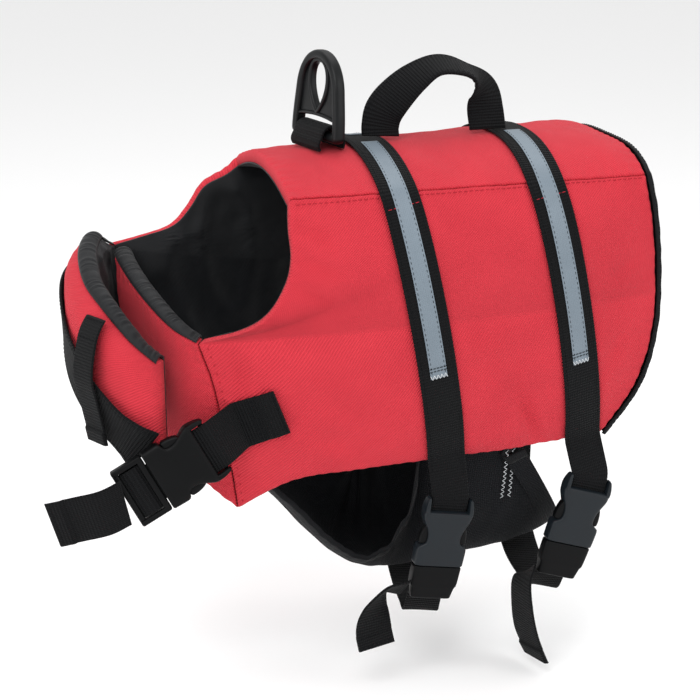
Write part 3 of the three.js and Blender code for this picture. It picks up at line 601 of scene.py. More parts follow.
NEAR = SidePad(
    side=-1,
    fold_front=-116,
    fold_rear=120,
    neck=side_spline((-116, 3), (-116, -16), (-115, -35), (-119, -52), (-131, -71), (-149, -81), (-172, -86)),
    crease=side_spline((-172, -86), (-161, -121), (-153, -160), (-146, -200)),
    hem=side_spline((-146, -200), (-108, -183), (-62, -179), (0, -176), (55, -174), (98, -171)),
    rear=side_spline((120, 3), (125, -24), (128.5, -67), (128, -103), (120, -137), (98, -171)),
)
FAR = SidePad(
    side=1,
    fold_front=-113,
    fold_rear=121,
    neck=side_spline((-113, 3), (-122, -4), (-137, -12), (-148, -27), (-160, -38), (-180, -43), (-203, -48)),
    crease=side_spline((-203, -48), (-194, -86), (-185, -124), (-176, -160)),
    hem=side_spline((-176, -160), (-135, -171), (-70, -177), (0, -176), (55, -174), (98, -170)),
    rear=side_spline((121, 3), (126, -24), (129, -67), (128, -103), (120, -137), (98, -170)),
)
BACK = BackPad(NEAR, FAR)
INNER_FLAP = Flap(
    NEAR,
    sewn_to=1.0,
    swell=4,
    hollow=2,
    rows=table(
        "x y top low_x low_y low",
        (-172.3, -57.4, -86, -146.3, -50.3, -200),
        (-184, -44, -80, -166, -43, -182),
        (-192, -26, -72, -182, -25, -168),
        (-198, 2, -63, -190, 2, -155),
        (-201, 28, -55, -193, 25, -142),
        (-201, 44, -51, -192, 41, -134),
    ),
)
OUTER_FLAP = Flap(
    FAR,
    sewn_to=0.7,
    swell=11,
    hollow=1,
    rows=table(
        "x y top low_x low_y low",
        (-203.4, 61.5, -48, -192, 61, -101),
        (-217, 53, -41, -211, 52, -102),
        (-227, 30, -46, -224, 28, -108),
        (-230, 0, -57, -229, -2, -123),
        (-225, -26, -67, -224, -28, -139),
        (-213, -48, -83, -211, -49, -152),
        (-199, -60, -96, -198, -60, -159),
    ),
)


@dataclass(frozen=True)
class BucklePlace:
    """A side-release buckle between its webbing end and its strap end."""

    top: tuple[float, float, float]
    bottom: tuple[float, float, float]
    width: float
    thick: float
    facing: tuple[float, float, float] = (0, -1, 0)

    @property
    def along(self) -> Array:
        """Direction from the webbing end to the strap end."""
        return unit(np.array(self.bottom, float) - np.array(self.top, float))

    @property
    def out(self) -> Array:
        """Direction out of the buckle's face."""
        wish = np.array(self.facing, float)
        return unit(wish - self.along * (wish @ self.along))

    @property
    def across(self) -> Array:
        """Direction over the buckle's width."""
        return np.cross(self.along, self.out)

    @property
    def length(self) -> float:
        """Length of the fastened buckle."""
        return float(np.linalg.norm(np.array(self.bottom, float) - np.array(self.top, float)))

    def point(self, across: Array, along: Array, out: Array) -> Array:
        """Points in the buckle's own directions, from the middle of its webbing end."""
        parts = zip((across, along, out), (self.across, self.along, self.out), strict=True)
        return np.array(self.top, float) + sum(np.asarray(a, float)[..., None] * d for a, d in parts)


@dataclass(frozen=True)
class GirthStrap:
    """One girth strap: its place at the fold, its slant, its buckle and its loose run under the belly."""

    name: str
    fold_x: float
    slant: float
    buckle: BucklePlace
    under: Table
    tail: Table


GIRTH_STRAPS = (
    GirthStrap(
        "front",
        -47,
        0.2,
        BucklePlace((-9, -66, -202), (-21, -61, -271), 34, 11),
        table(
            "x y z az",
            (-6, 62, -196, 0),
            (-6, 58, -228, 0),
            (-8, 38, -264, 0),
            (-13, 4, -281, 0),
            (-19, -30, -285, -0.08),
            (-21.8, -46, -286, -0.17),
            (-22, -54.5, -283.5, -0.17),
        ),
        table(
            "x y z ax ay az",
            (-36.9, -60, -263, 0, -0.75, 0.66),
            (-50, -61, -263, -0.3, -0.8, 0.4),
            (-57, -60, -274, -0.8, -0.5, 0),
            (-58, -58, -289, -1, -0.1, 0),
            (-55, -56, -304, -1, 0, 0),
        ),
    ),
    GirthStrap(
        "rear",
        50,
        0.195,
        BucklePlace((91, -62, -200), (69, -58, -268), 34, 11),
        table(
            "x y z az",
            (88, 59, -188, 0),
            (84, 54, -222, 0),
            (76, 36, -254, 0),
            (68, 0, -270, 0),
            (66, -32, -279, -0.15),
            (66.5, -42, -281.5, -0.31),
            (66.5, -51, -279.5, -0.31),
        ),
        table(
            "x y z ax ay az",
            (54.2, -58, -261, 0, -0.75, 0.66),
            (46, -60, -268, 0.1, -0.95, 0.2),
            (46, -60, -284, 0.2, -1, 0),
            (51, -57, -307, 0.3, -1, 0),
            (60, -55, -327, 0.25, -1, 0),
        ),
    ),
)
CHEST_BUCKLE = BucklePlace((-166, -73, -146), (-222, -70, -177), 41, 12, (-0.15, -1, 0.1))


# Meshes


@dataclass
class Skin:
    """A surface: points in millimetres, quads, places on the flat cut, and how many quads are sharp."""

    points: Array
    faces: Array
    flat: Array
    sharp: int = 0

    def closed_outwards(self) -> "Skin":
        """The same closed surface with its faces pointing outwards.

        Returns:
            The surface, turned round if its volume came out below 0.
        """
        a, b, c, d = (self.points[self.faces[:, k]] for k in range(4))
        volume = (a * np.cross(b, c)).sum() + (a * np.cross(c, d)).sum()
        faces = self.faces[:, ::-1] if volume < 0 else self.faces
        return Skin(self.points, faces, self.flat, self.sharp)


def joined(skins: Sequence[Skin]) -> Skin:
    """One surface from several, none of them with sharp quads.

    Args:
        skins: The surfaces.

    Returns:
        All of them as one.
    """
    starts = np.cumsum([0] + [len(s.points) for s in skins[:-1]])
    faces = np.concatenate([s.faces + k for s, k in zip(skins, starts, strict=True)])
    return Skin(np.concatenate([s.points for s in skins]), faces, np.concatenate([s.flat for s in skins]))


def shell(outer: Array, inner: Array, flat: Array) -> Skin:
    """A closed wall between two grids of points: both faces, and a strip round their edge.

    Args:
        outer: Points of the outer face, rows by columns.
        inner: Points of the inner face, the same in number.
        flat: Each point's place on the flat cut.

    Returns:
        The wall.
    """
    rows, cols = outer.shape[:2]
    at = np.arange(rows * cols).reshape(rows, cols)
    face = np.stack([at[:-1, :-1], at[1:, :-1], at[1:, 1:], at[:-1, 1:]], -1).reshape(-1, 4)
    loop = np.concatenate([at[0, :-1], at[:-1, -1], at[-1, :0:-1], at[:0:-1, 0]])
    after, deep = np.roll(loop, -1), rows * cols
    strip = np.stack([loop, after, after + deep, loop + deep], -1)
    faces = np.concatenate([face, face[:, ::-1] + deep, strip])
    points = np.concatenate([outer.reshape(-1, 3), inner.reshape(-1, 3)])
    plan = flat.reshape(-1, 2)
    return Skin(points, faces, np.concatenate([plan, plan])).closed_outwards()


def loft(rings: Array, flat: Array) -> Skin:
    """A closed body through rings whose halves face each other, with both ends capped.

    Args:
        rings: Points, rings by places round each, the second half of a ring running back under the first.
        flat: Each point's place on the flat cut.

    Returns:
        The body.
    """
    count, size = rings.shape[:2]
    at = np.arange(count * size).reshape(count, size)
    turn = np.roll(at, -1, axis=1)
    sides = np.stack([at[:-1], at[1:], turn[1:], turn[:-1]], -1).reshape(-1, 4)
    j = np.arange(size // 2 - 1)
    k = size - 1 - j
    first = np.stack([at[0, j], at[0, j + 1], at[0, k - 1], at[0, k]], -1)
    last = np.stack([at[-1, k], at[-1, k - 1], at[-1, j + 1], at[-1, j]], -1)
    faces = np.concatenate([sides, first, last])
    skin = Skin(rings.reshape(-1, 3), faces, flat.reshape(-1, 2), sharp=2 * len(j))
    return skin.closed_outwards()


def add_piece(
    name: str,
    skin: Skin,
    finish: bpy.types.Material,
    replaces: Sequence[str] = (),
    body: str = BODY,
) -> bpy.types.Object:
    """Makes a mesh object of a surface, with its flat cut as its UV map, and lets it ride on its body.

    Args:
        name: The piece's name.
        skin: Its surface.
        finish: Its material.
        replaces: The solids that it stands for.
        body: The body that it rides on.

    Returns:
        The object.
    """
    mesh = bpy.data.meshes.new(name)
    count = len(skin.faces)
    mesh.vertices.add(len(skin.points))
    mesh.vertices.foreach_set("co", (skin.points * MM).astype(np.float32).ravel())
    mesh.loops.add(4 * count)
    mesh.loops.foreach_set("vertex_index", skin.faces.astype(np.int32).ravel())
    mesh.polygons.add(count)
    mesh.polygons.foreach_set("loop_start", np.arange(0, 4 * count, 4, dtype=np.int32))
    smooth = np.ones(count, bool)
    if skin.sharp:
        smooth[-skin.sharp :] = False
    mesh.polygons.foreach_set("use_smooth", smooth)
    flat = mesh.uv_layers.new(name="flat_cut")
    flat.data.foreach_set("uv", (skin.flat[skin.faces.ravel()] * MM).astype(np.float32).ravel())
    mesh.materials.append(finish)
    mesh.update(calc_edges=True)
    mesh.validate()
    piece = bpy.data.objects.new(name, mesh)
    bpy.context.scene.collection.objects.link(piece)
    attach(piece, body)
    if replaces:
        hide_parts(*replaces)
    LOG.info("%s: %d quads", name, count)
    return piece


@dataclass
class Run:
    """The middle line of a strip of webbing, with its directions across and out at each place."""

    at: Array
    across: Array
    out: Array

    @property
    def along(self) -> Array:
        """Millimetres from the start to each place."""
        steps = np.linalg.norm(np.diff(self.at, axis=0), axis=1)
        return np.concatenate([[0], np.cumsum(steps)])

    def even(self, step: float = 1.2) -> "Run":
        """The same line with even steps of about that length.

        Args:
            step: The length of a step.

        Returns:
            The line.
        """
        s = self.along
        to = np.linspace(0, s[-1], max(int(s[-1] / step), 2) + 1)

        def on(values: Array) -> Array:
            """The values at the even steps."""
            return np.stack([np.interp(to, s, values[:, k]) for k in range(3)], axis=1)

        return Run(on(self.at), unit(on(self.across)), unit(on(self.out)))

    def eased(self, times: int = 8) -> "Run":
        """The same line with its sharp bends and twists rounded off, and its ends kept.

        Args:
            times: How often each place is moved halfway to the mean of its neighbours.

        Returns:
            The line.
        """
        at, across, out = self.at.copy(), self.across.copy(), self.out.copy()
        for _ in range(times):
            for values in (at, across, out):
                values[1:-1] = values[1:-1] * 0.5 + (values[:-2] + values[2:]) * 0.25
        tangent = unit(np.gradient(at, axis=0))
        across = unit(across - tangent * (across * tangent).sum(-1, keepdims=True))
        turned = np.cross(tangent, across)
        turned *= np.sign((turned * out).sum(-1, keepdims=True))
        return Run(at, across, unit(turned))

    def lifted(self, by: float | Array) -> "Run":
        """The same line moved outwards."""
        return Run(self.at + self.out * np.reshape(by, (-1, 1)), self.across, self.out)

    def shifted(self, by: float) -> "Run":
        """The same line moved across."""
        return Run(self.at + self.across * by, self.across, self.out)

    def part(self, start: float, stop: float) -> "Run":
        """The stretch between two distances from the start, either from the end if below 0.

        Args:
            start: Where it starts.
            stop: Where it stops.

        Returns:
            The stretch.
        """
        s = self.along
        low, high = (x if x >= 0 else s[-1] + x for x in (start, stop))
        keep = (s >= low - 1e-6) & (s <= high + 1e-6)
        return Run(self.at[keep], self.across[keep], self.out[keep])

    def strip(self, width: float, thick: float | Array) -> Skin:
        """A strip with rounded selvages: a rounded rectangle carried along the line.

        Args:
            width: Its width.
            thick: Its thickness, or one for each place.

        Returns:
            The strip, whose underside lies on the line.
        """
        thick = np.broadcast_to(np.asarray(thick, float), len(self.at))[:, None]
        half, radius = width / 2, thick / 2
        turn = np.radians([12, 40, 68])
        flat_part = np.linspace(-1, 1, 7)
        side = half - radius + radius * np.cos(turn)
        rise = radius + radius * np.sin(turn)
        x = np.concatenate([-side, flat_part * (half - radius), side[:, ::-1]], axis=1)
        z = np.concatenate([rise, np.repeat(2 * radius, 7, axis=1), rise[:, ::-1]], axis=1)
        x, z = np.concatenate([x, x[:, ::-1]], axis=1), np.concatenate([z, 2 * radius - z[:, ::-1]], axis=1)
        rings = self.at[:, None] + self.across[:, None] * x[..., None] + self.out[:, None] * z[..., None]
        return loft(rings, stack(x, self.along[:, None]))


def sewing(starts: Array, stops: Array, out: Array, radius: float = THREAD_RADIUS) -> Skin:
    """Stitches as small bent capsules, whose ends dip into the cloth.

    Args:
        starts: Where each stitch starts.
        stops: Where it stops.
        out: The direction out of the cloth at each.
        radius: The thread's radius.

    Returns:
        All the stitches.
    """
    share = np.array([0, 0.14, 0.5, 0.86, 1])
    size = radius * np.array([0.4, 0.95, 1, 0.95, 0.4])
    rise = radius * np.array([-0.7, 0.35, 0.6, 0.35, -0.7])
    along = unit(stops - starts)
    side = unit(np.cross(out, along))
    middle = starts[:, None] + (stops - starts)[:, None] * share[:, None] + out[:, None] * rise[:, None]
    angle = np.arange(6) * TURN / 6
    ring = side[:, None, None] * np.cos(angle)[:, None] + out[:, None, None] * np.sin(angle)[:, None]
    points = middle[:, :, None] + ring * size[:, None, None]
    count = len(starts)
    at = np.arange(count * 30).reshape(count, 5, 6)
    turn = np.roll(at, -1, axis=2)
    sides = np.stack([at[:, :-1], turn[:, :-1], turn[:, 1:], at[:, 1:]], -1).reshape(-1, 4)
    first = [at[:, 0][:, [3, 2, 1, 0]], at[:, 0][:, [5, 4, 3, 0]]]
    last = [at[:, -1][:, [0, 1, 2, 3]], at[:, -1][:, [0, 3, 4, 5]]]
    return Skin(points.reshape(-1, 3), np.concatenate([sides, *first, *last]), np.zeros((count * 30, 2)))


def sewn_line(
    at: Array, out: Array, length: float = STITCH, gap: float = STITCH_GAP, radius: float = THREAD_RADIUS
) -> Skin:
    """A row of running stitches along a line of points.

    Args:
        at: The line's points.
        out: The direction out of the cloth at each.
        length: A stitch's length.
        gap: The gap between two.
        radius: The thread's radius.

    Returns:
        The stitches.
    """
    s = np.concatenate([[0], np.cumsum(np.linalg.norm(np.diff(at, axis=0), axis=1))])
    count = max(int((s[-1] + gap) / (length + gap)), 1)
    pitch = (s[-1] + gap) / count
    begin = np.arange(count) * pitch

    def on(where: Array, values: Array) -> Array:
        """The values at some distances along the line."""
        return np.stack([np.interp(where, s, values[:, k]) for k in range(3)], axis=1)

    end = begin + pitch - gap
    return sewing(on(begin, at), on(end, at), unit(on((begin + end) / 2, out)), radius)


def zigzag(run: Run, width: float, step: float, radius: float = 0.24) -> Skin:
    """A zigzag seam along a line.

    Args:
        run: The line, with its directions.
        width: The seam's width.
        step: The distance along the line that one stitch covers.
        radius: The thread's radius.

    Returns:
        The stitches.
    """
    even = run.even(step)
    sign = np.where(np.arange(len(even.at)) % 2 == 0, 1.0, -1.0)[:, None]
    corners = even.at + even.across * sign * width / 2
    return sewing(corners[:-1], corners[1:], even.out[:-1], radius)


# Finishes


def linear(colour: str) -> tuple[float, float, float, float]:
    """An sRGB hex colour as the linear colour that a shader takes.

    Args:
        colour: The colour, such as "#E2434F".

    Returns:
        Red, green, blue and an alpha of 1.
    """
    parts = [int(colour[i : i + 2], 16) / 255 for i in (1, 3, 5)]
    red, green, blue = (p / 12.92 if p <= 0.04045 else ((p + 0.055) / 1.055) ** 2.4 for p in parts)
    return red, green, blue, 1.0


def node(
    tree: bpy.types.NodeTree, kind: str, links: dict | None = None, **settings: object
) -> bpy.types.Node:
    """Adds a node.

    Args:
        tree: The node tree.
        kind: The node's type name after "ShaderNode".
        links: For each input's name or number, a socket to link or a value to set.
        **settings: The node's own settings.

    Returns:
        The node.
    """
    made = tree.nodes.new("ShaderNode" + kind)
    for key, value in settings.items():
        setattr(made, key, value)
    for key, value in (links or {}).items():
        if isinstance(value, bpy.types.NodeSocket):
            tree.links.new(value, made.inputs[key])
        else:
            made.inputs[key].default_value = value
    return made


class Weave(Enum):
    """How a cloth's threads cross, as height over its flat cut."""

    TWILL = "twill"
    PLAIN = "plain"
    RIBBED = "ribbed"
    NET = "net"


@dataclass(frozen=True)
class Cloth:
    """A woven cloth: two close colours, a weave of a real pitch, slow wear and a nap.

    The weave is a sum of sines over the flat cut, in metres.
    """

    name: str
    colour: str
    shade: str
    weave: Weave
    pitch: float
    depth: float
    roughness: float
    sheen: float = 0.1
    tint: float = 0.35
    patches: float = 0.4
    specular: float = 0.12

    def build(self) -> bpy.types.Material:
        """The material, with its weave as colour and bump.

        Returns:
            The material.
        """
        material = bpy.data.materials.new(self.name)
        material.use_nodes = True
        tree = material.node_tree
        tree.nodes.clear()
        flat = node(tree, "UVMap", uv_map="flat_cut").outputs[0]
        parts = node(tree, "SeparateXYZ", {0: flat}).outputs
        turn = TURN / (self.pitch * MM)

        def wave(x: float, y: float) -> bpy.types.NodeSocket:
            """A sine over the flat cut, with its waves per pitch across and along.

            Args:
                x: Waves per pitch across.
                y: Waves per pitch along.

            Returns:
                The socket that gives it.
            """
            across = node(tree, "Math", {0: parts[0], 1: x * turn}, operation="MULTIPLY").outputs[0]
            along = node(tree, "Math", {0: parts[1], 1: y * turn}, operation="MULTIPLY").outputs[0]
            both = node(tree, "Math", {0: across, 1: along}, operation="ADD").outputs[0]
            return node(tree, "Math", {0: both}, operation="SINE").outputs[0]

        pairs = {
            Weave.TWILL: ((0.75, 0.65), (0.9, -0.9)),
            Weave.PLAIN: ((1, 0), (0, 1)),
            Weave.RIBBED: ((0, 1), (1.6, 0)),
            Weave.NET: ((0.7, 0.7), (0.7, -0.7)),
        }[self.weave]
        first, second = wave(*pairs[0]), wave(*pairs[1])
        if self.weave is Weave.NET:
            height = node(tree, "Math", {0: first, 1: second}, operation="MULTIPLY").outputs[0]
        else:
            height = node(tree, "Math", {0: second, 1: 0.5, 2: first}, operation="MULTIPLY_ADD").outputs[0]
        place = node(tree, "TexCoord").outputs["Object"]
        wear = {"Vector": place, "Scale": 28, "Detail": 3, "Roughness": 0.55}
        slow = node(tree, "TexNoise", wear).outputs[0]
        nap = {"Vector": place, "Scale": 900, "Detail": 2, "Roughness": 0.6}
        fine = node(tree, "TexNoise", nap).outputs[0]
        woven = node(tree, "MapRange", {0: height, 1: -1.3, 2: 1.3, 3: 1 - self.tint, 4: 1}).outputs[0]
        worn = node(tree, "MapRange", {0: slow, 1: 0.3, 2: 0.7, 3: 1 - self.patches, 4: 1}).outputs[0]
        share = node(tree, "Math", {0: woven, 1: worn}, operation="MULTIPLY").outputs[0]
        mixed = node(
            tree,
            "Mix",
            {0: share, 6: linear(self.shade), 7: linear(self.colour)},
            data_type="RGBA",
        ).outputs[2]
        grain = node(tree, "Math", {0: fine, 1: 0.6, 2: height}, operation="MULTIPLY_ADD").outputs[0]
        bump = node(
            tree,
            "Bump",
            {"Height": grain, "Distance": self.depth * MM, "Strength": 0.8},
        ).outputs[0]
        gloss = {0: share, 1: 0, 2: 1, 3: self.roughness + 0.08, 4: self.roughness - 0.04}
        rough = node(tree, "MapRange", gloss)
        shader = node(
            tree,
            "BsdfPrincipled",
            {
                "Base Color": mixed,
                "Roughness": rough.outputs[0],
                "Sheen Weight": self.sheen,
                "Sheen Roughness": 0.5,
                "Specular IOR Level": self.specular,
                "Normal": bump,
            },
        )
        node(tree, "OutputMaterial", {0: shader.outputs[0]})
        return material


@dataclass(frozen=True)
class Moulded:
    """An injection-moulded plastic: one colour, a fine spark-eroded grain and slow scuffs."""

    name: str
    colour: str
    shade: str
    roughness: float
    grain: float = 0.02
    specular: float = 0.22

    def build(self) -> bpy.types.Material:
        """The material, with its grain as bump.

        Returns:
            The material.
        """
        material = bpy.data.materials.new(self.name)
        material.use_nodes = True
        tree = material.node_tree
        tree.nodes.clear()
        place = node(tree, "TexCoord").outputs["Object"]
        slow = node(tree, "TexNoise", {"Vector": place, "Scale": 60, "Detail": 3}).outputs[0]
        fine = node(tree, "TexNoise", {"Vector": place, "Scale": 2200, "Detail": 1}).outputs[0]
        mixed = node(
            tree,
            "Mix",
            {0: slow, 6: linear(self.shade), 7: linear(self.colour)},
            data_type="RGBA",
        ).outputs[2]
        gloss = {0: slow, 1: 0.3, 2: 0.7, 3: self.roughness - 0.06, 4: self.roughness + 0.08}
        rough = node(tree, "MapRange", gloss)
        bump = node(tree, "Bump", {"Height": fine, "Distance": self.grain * MM, "Strength": 0.5}).outputs[0]
        shader = node(
            tree,
            "BsdfPrincipled",
            {
                "Base Color": mixed,
                "Roughness": rough.outputs[0],
                "Normal": bump,
                "IOR": 1.49,
                "Specular IOR Level": self.specular,
            },
        )
        node(tree, "OutputMaterial", {0: shader.outputs[0]})
        return material


# Solution-dyed polyester Oxford over foam: matt, with a diagonal rib, drawn at twice its real pitch to show
RED_OXFORD = Cloth(
    "red_oxford_polyester", "#CC3440", "#9C1C29", Weave.TWILL,
    pitch=1.4, depth=0.22, roughness=0.78, sheen=0.03, tint=0.45, patches=0.25, specular=0.18,
)
# Black nylon taffeta: a tight plain weave with a slate sheen on its folds
NYLON_LINING = Cloth(
    "black_nylon_taffeta", "#0D0F13", "#050607", Weave.PLAIN,
    pitch=1.0, depth=0.05, roughness=0.5, sheen=0.06, tint=0.3, patches=0.6, specular=0.2,
)
# Black nylon tape, calendered: a finer rib and a low gloss
BINDING_TAPE = Cloth(
    "black_binding_tape", "#0E0F12", "#060607", Weave.RIBBED,
    pitch=1.3, depth=0.08, roughness=0.62, sheen=0.04, tint=0.4, patches=0.4,
)
# Warp-knitted polyester mesh: small dark holes in rows
BELLY_MESH = Cloth(
    "black_spacer_mesh", "#14161A", "#030304", Weave.NET,
    pitch=2.2, depth=0.25, roughness=0.8, sheen=0.03, tint=0.8, patches=0.3,
)
# Polypropylene webbing: ribs across its width at 2 mm
RIBBED_WEBBING = Cloth(
    "black_ribbed_webbing", "#0B0C0E", "#030304", Weave.RIBBED,
    pitch=2.0, depth=0.3, roughness=0.72, sheen=0.02, tint=0.7, patches=0.3,
)
# Glass-bead reflective tape: grey and slightly pearly, with a fine grid
REFLECTIVE_TAPE = Cloth(
    "grey_reflective_tape", "#6F7B85", "#5B666F", Weave.PLAIN,
    pitch=1.2, depth=0.03, roughness=0.42, sheen=0.0, tint=0.3, patches=0.5, specular=0.4,
)
# Acetal buckles, moulded: dark slate with soft highlights
SLATE_PLASTIC = Moulded("slate_acetal", "#141B20", "#0E1318", roughness=0.42, grain=0.02, specular=0.25)
DARK_PLASTIC = Moulded("black_acetal", "#060708", "#030304", roughness=0.45, grain=0.02, specular=0.12)
RING_PLASTIC = Moulded("black_nylon_ring", "#090B0D", "#050607", roughness=0.38, grain=0.02, specular=0.22)
# Spun polyester sewing thread in three colours
RED_THREAD = Moulded("red_thread", "#A82733", "#8E1D28", roughness=0.8, grain=0.02, specular=0.1)
BLACK_THREAD = Moulded("black_thread", "#141518", "#0B0C0D", roughness=0.75, grain=0.02, specular=0.1)
WHITE_THREAD = Moulded("white_thread", "#C9CCCE", "#A9ADB0", roughness=0.8, grain=0.02, specular=0.1)


# Padded panels


@dataclass
class Panel:
    """A padded panel's outer face as a grid, from which seams and straps take their places."""

    us: Array
    vs: Array
    outer: Array

    def at(self, u: Array, v: Array) -> tuple[Array, Array]:
        """Points of the finished face and the directions out of it.

        Args:
            u: Places along the panel, from 0 to 1.
            v: Places down it, from 0 to 1.

        Returns:
            The points, and the directions out.
        """
        u, v = np.broadcast_arrays(np.asarray(u, float), np.asarray(v, float))

        def on(a: Array, b: Array) -> Array:
            """Points between the grid's own, in proportion.

            Args:
                a: Places along the panel.
                b: Places down it.

            Returns:
                The points.
            """
            i = np.interp(a, self.us, np.arange(len(self.us)))
            j = np.interp(b, self.vs, np.arange(len(self.vs)))
            i0 = np.minimum(i.astype(int), len(self.us) - 2)
            j0 = np.minimum(j.astype(int), len(self.vs) - 2)
            s, t = (i - i0)[..., None], (j - j0)[..., None]
            upper = self.outer[i0, j0] * (1 - s) + self.outer[i0 + 1, j0] * s
            lower = self.outer[i0, j0 + 1] * (1 - s) + self.outer[i0 + 1, j0 + 1] * s
            return upper * (1 - t) + lower * t

        step = 0.012
        du = on(np.minimum(u + step, 1), v) - on(np.maximum(u - step, 0), v)
        dv = on(u, np.minimum(v + step, 1)) - on(u, np.maximum(v - step, 0))
        return on(u, v), unit(np.cross(du, dv))


def graded(count: int, pull: float = 0.1) -> Array:
    """Places from 0 to 1 that lie closer together at both ends."""
    t = np.linspace(0, 1, count)
    return t - pull * np.sin(TURN * t)


def border_distances(grid: Array) -> tuple[Array, Array, Array, Array]:
    """Distances over a grid of points to its four borders.

    Args:
        grid: Points, rows by columns.

    Returns:
        Each point's distances from the start and the end along the rows, and from the top and low end.
    """
    along = np.linalg.norm(np.diff(grid, axis=0), axis=2)
    down = np.linalg.norm(np.diff(grid, axis=1), axis=2)
    s = np.concatenate([np.zeros_like(grid[:1, :, 0]), np.cumsum(along, axis=0)])
    t = np.concatenate([np.zeros_like(grid[:, :1, 0]), np.cumsum(down, axis=1)], axis=1)
    return s, s[-1:] - s, t, t[:, -1:] - t


@dataclass(frozen=True)
class Rolls:
    """How far a panel's face rolls down at its four borders."""

    start: float
    stop: float
    top: float
    low: float


def build_panel(
    cut: SidePad | BackPad | Flap,
    depths: tuple[float, float, float],
    counts: tuple[int, int],
    rolls: Rolls,
    relief: Callable[[Array, Array, Array], Array],
    pucker: float,
    seed: int,
) -> tuple[Skin, Panel]:
    """A foam panel in its cloth: a crowned face that rolls down at its borders, puckered along its seams.

    Args:
        cut: The panel's shape.
        depths: Its edge's thickness, its swell and its hollow.
        counts: The number of points along and down it.
        rolls: How far its face rolls down at each border.
        relief: Extra height at each place, from the face's points and both parameters.
        pucker: The height of the puckers at its seams.
        seed: The seed of their unevenness.

    Returns:
        The closed surface, and its face.
    """
    edge, swell, hollow = depths
    us, vs = graded(counts[0]), graded(counts[1])
    u, v = np.meshgrid(us, vs, indexing="ij")
    plain = cut.point(u, v, -swell * fill(u, v))
    start, stop, top, low = border_distances(plain)
    depth = np.zeros_like(u)
    waves = np.zeros_like(u)
    sides = (
        (start, rolls.start, top),
        (stop, rolls.stop, top),
        (top, rolls.top, start),
        (low, rolls.low, start),
    )
    for k, (away, roll, run) in enumerate(sides):
        rolled = roll - np.sqrt(np.maximum(roll**2 - np.maximum(roll - away, 0) ** 2, 0))
        depth += rolled**3
        drift = ripple(np.stack([run, 0 * run + 40 * k], -1), 23, seed + k) * 1.4
        waves += np.exp(-away / 7) * np.sin(TURN * run / 8.3 + drift) * np.clip(away / 1.5, 0, 1)
    depth = np.cbrt(depth)
    height = relief(plain, u, v) + waves * pucker
    outer = cut.point(u, v, -swell * fill(u, v) + depth - height)
    inner = cut.point(u, v, edge + hollow * fill(u, v))
    return shell(outer, inner, stack(start, top)), Panel(us, vs, outer)


# Creases of the two side pads, each from place to place in X and Z, with its depth, width and bow
NEAR_CREASES = (
    Crease((22, -118), (50, -174), 2.2, 5, 3),
    Crease((36, -140), (58, -172), 1.2, 4, -2),
    Crease((-113, -12), (-88, -30), 1.5, 4, 1.5),
    Crease((-114, -32), (-84, -46), 1.4, 4, -1),
    Crease((-116, -52), (-92, -62), 1.2, 3.5, 1),
    Crease((-150, -90), (-146, -128), 2.0, 5, 2),
    Crease((-128, -76), (-106, -96), 0.9, 5, -2),
    Crease((-98, -150), (-66, -174), 0.8, 6, 2),
    Crease((-20, -120), (2, -168), 0.7, 6, -3),
    Crease((104, -96), (84, -132), 0.9, 6, 2),
    Crease((116, -44), (92, -62), 0.7, 5, 1),
    Crease((70, -20), (84, -66), 0.5, 7, 3),
)
FAR_CREASES = (
    Crease((20, -112), (48, -172), 1.2, 5, -3),
    Crease((-128, -20), (-98, -42), 1.1, 5, 2),
    Crease((-160, -50), (-138, -84), 1.3, 5, -2),
    Crease((-90, -148), (-58, -172), 0.8, 6, 2),
    Crease((104, -88), (82, -128), 0.9, 6, -2),
    Crease((-24, -110), (-8, -164), 0.7, 6, 3),
    Crease((-184, -60), (-170, -104), 1.0, 5, 2),
)


def strap_seat(strap: GirthStrap, x: Array, z: Array) -> tuple[Array, Array]:
    """How much a place lies under a girth strap, and how much beside it.

    Args:
        strap: The strap.
        x: Places along the body.
        z: Heights.

    Returns:
        A share from 0 to 1 under the strap, and one just beside its edges.
    """
    away = np.abs(x - strap.fold_x - strap.slant * (FOLD_Z - z))
    under = np.clip((WEB_WIDTH / 2 + 3 - away) / 4, 0, 1)
    beside = np.exp(-(((away - WEB_WIDTH / 2 - 6) / 4.5) ** 2))
    return under * under * (3 - 2 * under), beside


def side_relief(creases: Sequence[Crease], seed: int) -> Callable[[Array, Array, Array], Array]:
    """The relief of a side pad: low waves, the listed creases, and a seat under each strap.

    Args:
        creases: Its creases.
        seed: The seed of its low waves.

    Returns:
        A function of the face's points and both parameters.
    """

    def height(points: Array, _u: Array, _v: Array) -> Array:
        """Height at each place.

        Args:
            points: The face's points.
            _u: Not used.
            _v: Not used.

        Returns:
            The heights.
        """
        x, z = points[..., 0], points[..., 2]
        plan = np.stack([x, z], -1)
        total = 0.8 * ripple(plan, 58, seed) + 0.35 * ripple(plan, 26, seed + 1)
        for crease in creases:
            total = total + crease.relief(x, z)
        for strap in GIRTH_STRAPS:
            under, beside = strap_seat(strap, x, z)
            total = total * (1 - under) + 0.35 * beside - 0.3 * under
        return total

    return height


def back_relief(points: Array, _u: Array, _v: Array) -> Array:
    """The relief of the back pad: low waves, with a seat under each strap.

    Args:
        points: The face's points.
        _u: Not used.
        _v: Not used.

    Returns:
        Height at each place.
    """
    x = points[..., 0]
    total = 0.5 * ripple(points[..., :2], 50, 31) + 0.25 * ripple(points[..., :2], 22, 32)
    for strap in GIRTH_STRAPS:
        under, beside = strap_seat(strap, x, np.full_like(x, FOLD_Z))
        total = total * (1 - under) + 0.3 * beside - 0.25 * under
    return total


